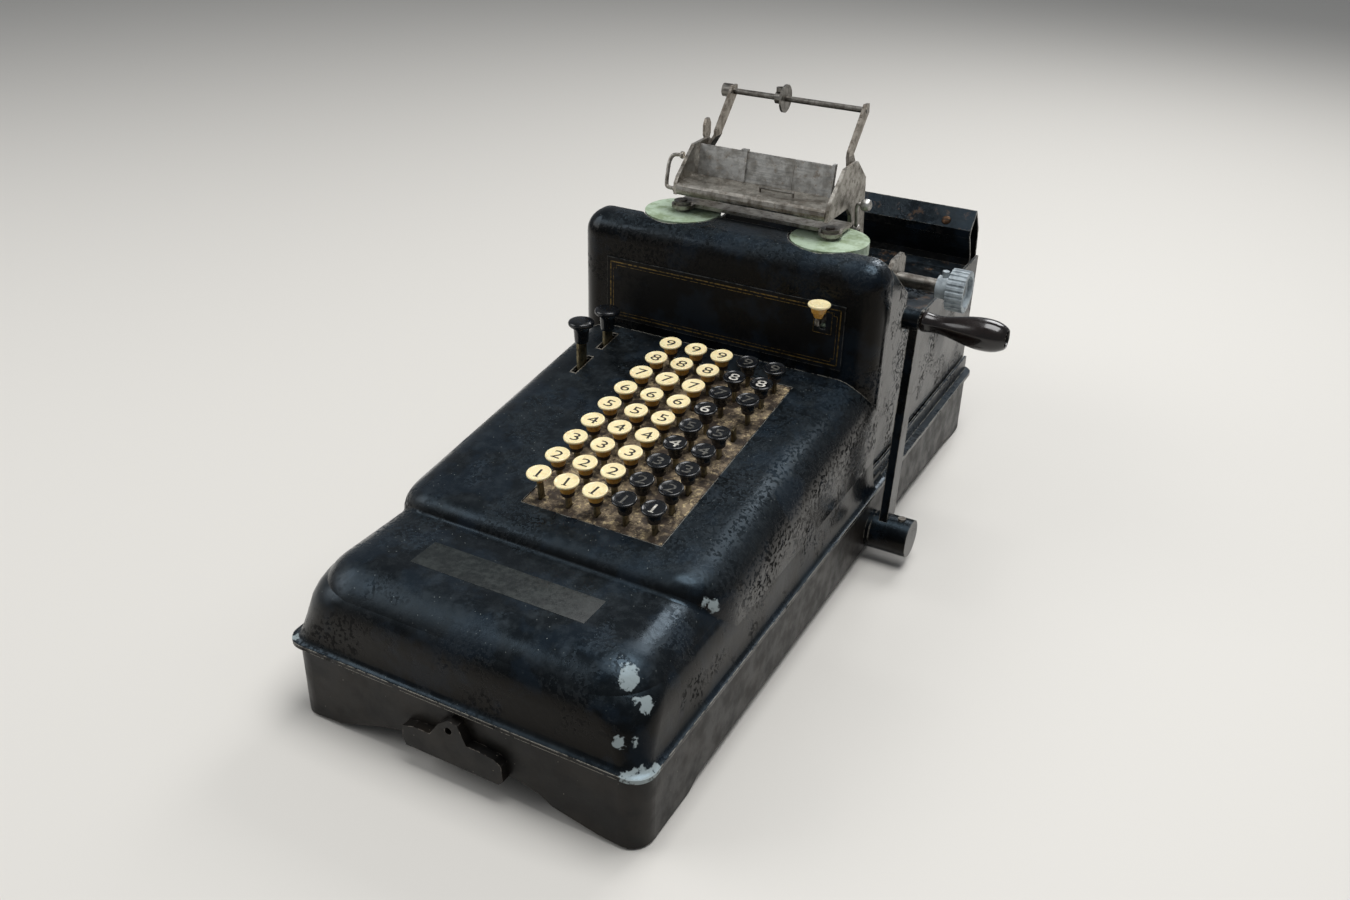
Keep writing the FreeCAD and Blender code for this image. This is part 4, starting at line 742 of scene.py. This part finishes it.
def floor_and_light(look):
    """A plain pale floor, a soft world and three soft lamps."""
    scene = bpy.context.scene
    scene.view_settings.view_transform = "Standard"
    material = blank_finish("floor", look.floor, 0.6)[0]
    mesh = bpy.data.meshes.new("floor")
    shape = bmesh.new()
    bmesh.ops.create_grid(shape, x_segments=1, y_segments=1, size=FLOOR_HALF)
    shape.to_mesh(mesh)
    shape.free()
    mesh.materials.append(material)
    ground = bpy.data.objects.new("floor", mesh)
    scene.collection.objects.link(ground)
    world = bpy.data.worlds.new("world")
    world.use_nodes = True
    background = world.node_tree.nodes["Background"]
    background.inputs["Color"].default_value = linear("c9cdd2")
    background.inputs["Strength"].default_value = look.world
    scene.world = world
    for name, place, size, share in LAMPS:
        data = bpy.data.lights.new(name, "AREA")
        data.energy = look.lamp * share
        data.size = size
        lamp = bpy.data.objects.new(name, data)
        lamp.location = place
        lamp.rotation_euler = (LIT - Vector(place)).to_track_quat("-Z", "Y").to_euler()
        scene.collection.objects.link(lamp)


def camera_of_photograph(look):
    """The camera, where the photograph was taken from."""
    data = bpy.data.cameras.new("camera")
    data.sensor_width = 36.0
    data.lens = look.lens
    camera = bpy.data.objects.new("camera", data)
    azimuth, elevation, roll = look.azimuth, look.elevation, look.roll
    back = Vector((math.sin(azimuth) * math.cos(elevation),
                   -math.cos(azimuth) * math.cos(elevation), math.sin(elevation)))
    level = Vector((math.cos(azimuth), math.sin(azimuth), 0))
    right = level * math.cos(roll) + back.cross(level) * math.sin(roll)
    matrix = Matrix((right, back.cross(right), back)).transposed().to_4x4()
    matrix.translation = row_point(*CAMERA)
    camera.matrix_world = matrix
    bpy.context.scene.collection.objects.link(camera)
    bpy.context.scene.camera = camera


def colour(name, text, default):
    """A colour setting with an sRGB hex default."""
    return FloatVectorProperty(name=name, description=text, subtype="COLOR", size=4, min=0.0,
                               max=1.0, default=linear(default))


class MachineLook(bpy.types.PropertyGroup):
    """Colours, sizes, light and camera of the machine."""
    japan: colour("Japan black", "Colour of the cover's japanning", "06080a")
    primer: colour("Primer", "Colour of the bare chips in the cover", "929d9f")
    enamel: colour("Pan enamel", "Colour of the pan's enamel", "0f0e0d")
    cream: colour("Cream caps", "Colour of the pale key caps", "f3e3b4")
    amber: colour("Amber necks", "Colour of the pale caps' necks", "b98a3e")
    plate: colour("Keyboard plate", "Colour of the flaking paint under the keys", "8a7a63")
    green: colour("Spool green", "Colour of the ribbon spools", "a9bba4")
    floor: colour("Floor", "Colour of the floor", "d9d6d0")
    pinstripe: FloatProperty(name="Pinstripe", description="Width of the outer gold line",
                             default=0.8 * MM, min=0.2 * MM, max=2 * MM, unit="LENGTH")
    lamp: FloatProperty(name="Key lamp", description="Power of the main lamp", default=27.0,
                        min=0.0, unit="POWER")
    world: FloatProperty(name="World", description="Strength of the even light", default=0.32,
                         min=0.0)
    lens: FloatProperty(name="Lens", description="Focal length on a 36 mm sensor", default=33.29,
                        min=1.0, unit="CAMERA")
    azimuth: FloatProperty(name="Azimuth", description="Camera's turn round the machine",
                           default=math.radians(27.47), unit="ROTATION")
    elevation: FloatProperty(name="Elevation", description="Camera's height as an angle",
                             default=math.radians(29.14), unit="ROTATION")
    roll: FloatProperty(name="Roll", description="Camera's tilt about its own axis",
                        default=math.radians(1.61), unit="ROTATION")


FINISHES = {}
# chips in the cover's japanning, as points of the drawing frame and radii, in mm
CHIPS = (((93.8, 26.1, 95), 5.6), ((96.5, 21.5, 91.5), 3.4), ((106.2, 22.5, 82.6), 4.4),
         ((103.5, 19.5, 86), 2.4), ((99.6, 6.6, 67.9), 2.8), ((105.2, 12.3, 67.2), 2.6),
         ((104.8, 97.1, 95.4), 3.6), ((102.5, 93.5, 98.6), 2.6), ((110.7, 8.4, 52.5), 3.6),
         ((114.2, 5.4, 52), 4.6), ((107, 2, 52), 4.0), ((117, 13, 52), 4.0),
         ((-113.5, 4.6, 52), 3.4))
# places where the cover's japanning has blistered most
BLISTERED = (((104, 215, 128), 70), ((104, 140, 112), 55), ((60, 312, 216), 60),
             ((-40, 312, 216), 60), ((104, 285, 128), 45))
# which finish each of the record's material slots gets
BY_SLOT = {"black_japan": "japan", "base_enamel": "enamel", "black_crank": "crank",
           "rubber": "rubber", "cream_cap": "cream", "black_cap": "black", "brass_plate": "plate",
           "steel": "steel", "tarnished_nickel": "nickel", "grip_wood": "grip",
           "green_enamel": "green", "ribbon_cloth": "ribbon", "grey_knob": "knob"}
# pieces whose finish differs from their slot's
BY_NODE = {"main_cover": "cover", "nameplate": "panel", "paper_table": "leaf",
           "paper_shelf": "shelf", "carriage_plates": "shelf", "spool_strap": "shelf"}
# the metals: finish, its material's name, bright, dark and grimy tones, roughness, brushed along
METALS = (("steel", "old_steel", "8d8a84", "5b5650", "3a3028", 0.36, "X"),
          ("nickel", "dull_nickel", "a39c92", "6d6459", "4a3c2f", 0.34, "X"),
          ("leaf", "bright_nickel", "c6c5c1", "97948e", "6a5f52", 0.4, "X"),
          ("shelf", "browned_steel", "aaa69e", "716b62", "4c4238", 0.38, "X"),
          ("rust", "rusty_steel", "5a4636", "33261d", "6b4a2f", 0.55, "X"),
          ("worn", "worn_edge", "c4beb2", "968e82", "6b6254", 0.36, "X"),
          ("stem", "stem_brass", "8c8266", "544a36", "2d261d", 0.4, "Z"))


class MACHINE_OT_finishes(bpy.types.Operator):
    """Makes the finishes and gives one to every piece of the CAD model"""
    bl_idname = "machine.finishes"
    bl_label = "Finishes"

    def execute(self, context):
        look = context.scene.machine_look
        chips = [(row_point(*spot), radius) for spot, radius in CHIPS]
        bad = [(row_point(*spot), radius) for spot, radius in BLISTERED]
        FINISHES.update({
            "cover": japanned_steel("cover_japan", look, chips=chips, bad=bad),
            "japan": japanned_steel("case_japan", look, 0.8, rust=0.8),
            "crank": japanned_steel("crank_japan", look, 0.7, 0.3),
            "panel": japanned_steel("panel_japan", look, 0.2, 0.6, 0.24),
            "enamel": stoved_enamel(look),
            "cream": celluloid("cream_celluloid", look.cream, linear("d9b673"), 0.22),
            "neck": celluloid("amber_celluloid", look.amber, linear("7d5424"), 0.26),
            "black": celluloid("black_celluloid", linear("111316"), linear("060708"), 0.16),
            # ink rubbed into cut numerals: dull, and browned or greyed where fingers wore it
            "ink": two_tone("numeral_ink", linear("15120e"), linear("3a3226"), 0.6, 3),
            "white_ink": two_tone("numeral_white", linear("d6d2c8"), linear("98958c"), 0.6, 3),
            "faint_ink": two_tone("numeral_faint", linear("5a5852"), linear("24241f"), 0.5, 2),
            # oil and dust that have set hard, together with painted shade under the caps on the
            # lower necks: brown and dull
            "grime": two_tone("key_grime_and_shade", linear("2d2219"), linear("18120d"), 0.7, 3),
            "plate": flaked_paint(look),
            # turned hardwood, stained nearly black and polished by a century of hands
            "grip": two_tone("polished_grip", linear("0b0807"), linear("170e0b"), 0.14, 16, 0.03,
                             Coat_Weight=0.3, Coat_Roughness=0.08),
            # sprayed enamel on turned steel: pale, satin, with darker drifts of ink
            "green": two_tone("spool_enamel", look.green, linear("7f9070"), 0.42, 9, 0.08),
            "ribbon": woven_ribbon(),
            # cast zinc with a dull grey skin
            "knob": two_tone("knob_zinc", linear("a9b3b8"), linear("828b91"), 0.5, 6, 0.12),
            # moulded rubber: dull, greying as it hardens
            "rubber": two_tone("foot_rubber", linear("1c1b1a"), linear("2c2a28"), 0.75, 8, 0.1),
            # gold size under worn bronze powder
            "gold": two_tone("gold_line", linear("6f5a2c"), linear("17130b"), 0.4, 2.2, 0.02,
                             Metallic=0.6),
            # a thin varnished film: dark and satin
            "label": two_tone("label_film", linear("171c1c"), linear("252a29"), 0.42, 7, 0.1),
            "dark": two_tone("slot_dirt", linear("0b0a0a"), linear("151312"), 0.8, 3),
        })
        for finish, name, bright, dark, grime, roughness, along in METALS:
            FINISHES[finish] = aged_metal(name, linear(bright), linear(dark), linear(grime),
                                          roughness, along)
        for part in frame["record"]["subparts"]:
            node = frame["nodes"][part["node"]]
            finish = BY_NODE.get(part["node"], BY_SLOT[part["material_slot"]])
            node.data.materials.clear()
            node.data.materials.append(FINISHES[finish])
        return {"FINISHED"}


class MACHINE_OT_keys(bpy.types.Operator):
    """Builds the caps, stems and numerals of the digit keys"""
    bl_idname = "machine.keys"
    bl_label = "Digit keys"

    def execute(self, context):
        kinds = (("cream_key", range(0, 3), ("cream", "neck", "grime", "stem", "ink", "ink"),
                  "cream_cap"),
                 ("black_key", range(3, 5),
                  ("black", "black", "grime", "stem", "white_ink", "faint_ink"), "black_cap"))
        for prefix, columns, names, slot in kinds:
            for row in range(1, 10):
                key_row(prefix, row, columns, [FINISHES[name] for name in names])
        return {"FINISHED"}


class MACHINE_OT_function_keys(bpy.types.Operator):
    """Builds the two mushroom keys at the left and the key on the upright"""
    bl_idname = "machine.function_keys"
    bl_label = "Function keys"

    def execute(self, context):
        for node, y, top in LEVERS:
            mushroom_key(node, y, top, FINISHES["black"], FINISHES["stem"])
        error_key(FINISHES["cream"], FINISHES["neck"], FINISHES["steel"])
        return {"FINISHED"}


class MACHINE_OT_cover_flare(bpy.types.Operator):
    """Adds the flared foot of the cover's wall and the worn edges of the lever slots"""
    bl_idname = "machine.cover_flare"
    bl_label = "Cover flare"

    def execute(self, context):
        cover_flare(FINISHES["cover"])
        lever_slot_edges(FINISHES["worn"])
        return {"FINISHED"}


class MACHINE_OT_grip(bpy.types.Operator):
    """Builds the crank's turned grip"""
    bl_idname = "machine.grip"
    bl_label = "Grip"

    def execute(self, context):
        turned_grip(FINISHES["grip"])
        return {"FINISHED"}


class MACHINE_OT_ornament(bpy.types.Operator):
    """Adds the pinstripes and the bare label strip"""
    bl_idname = "machine.ornament"
    bl_label = "Ornament"

    def execute(self, context):
        pinstripes(context.scene.machine_look, FINISHES["gold"])
        label_strip(FINISHES["label"])
        return {"FINISHED"}


class MACHINE_OT_small_metal(bpy.types.Operator):
    """Adds the rear lip's screws, the carriage's wire link and the release lever"""
    bl_idname = "machine.small_metal"
    bl_label = "Small metal parts"

    def execute(self, context):
        screws(FINISHES["rust"], FINISHES["dark"])
        carriage_link(FINISHES["shelf"])
        release_lever(FINISHES["leaf"])
        return {"FINISHED"}


class MACHINE_OT_stage(bpy.types.Operator):
    """Builds the floor, the lamps and the camera"""
    bl_idname = "machine.stage"
    bl_label = "Stage"

    def execute(self, context):
        floor_and_light(context.scene.machine_look)
        camera_of_photograph(context.scene.machine_look)
        return {"FINISHED"}


class MACHINE_PT_panel(bpy.types.Panel):
    """Lists the machine's settings and steps"""
    bl_label = "Adding Machine"
    bl_space_type = "VIEW_3D"
    bl_region_type = "UI"
    bl_category = "Machine"

    def draw(self, context):
        for name in MachineLook.__annotations__:
            self.layout.prop(context.scene.machine_look, name)
        for step in STEPS:
            self.layout.operator(step.bl_idname)


STEPS = (MACHINE_OT_finishes, MACHINE_OT_keys, MACHINE_OT_function_keys, MACHINE_OT_cover_flare,
         MACHINE_OT_grip, MACHINE_OT_ornament, MACHINE_OT_small_metal, MACHINE_OT_stage)
CLASSES = (MachineLook, *STEPS, MACHINE_PT_panel)


def register():
    """Registers the classes and the settings."""
    for item in CLASSES:
        bpy.utils.register_class(item)
    bpy.types.Scene.machine_look = PointerProperty(type=MachineLook)


def unregister():
    """Removes them again."""
    del bpy.types.Scene.machine_look
    for item in reversed(CLASSES):
        bpy.utils.unregister_class(item)


def main():
    """Registers the settings and runs every step in order."""
    register()
    bpy.ops.machine.finishes()
    bpy.ops.machine.keys()
    bpy.ops.machine.function_keys()
    bpy.ops.machine.cover_flare()
    bpy.ops.machine.grip()
    bpy.ops.machine.ornament()
    bpy.ops.machine.small_metal()
    bpy.ops.machine.stage()


if __name__ == "__main__":
    main()
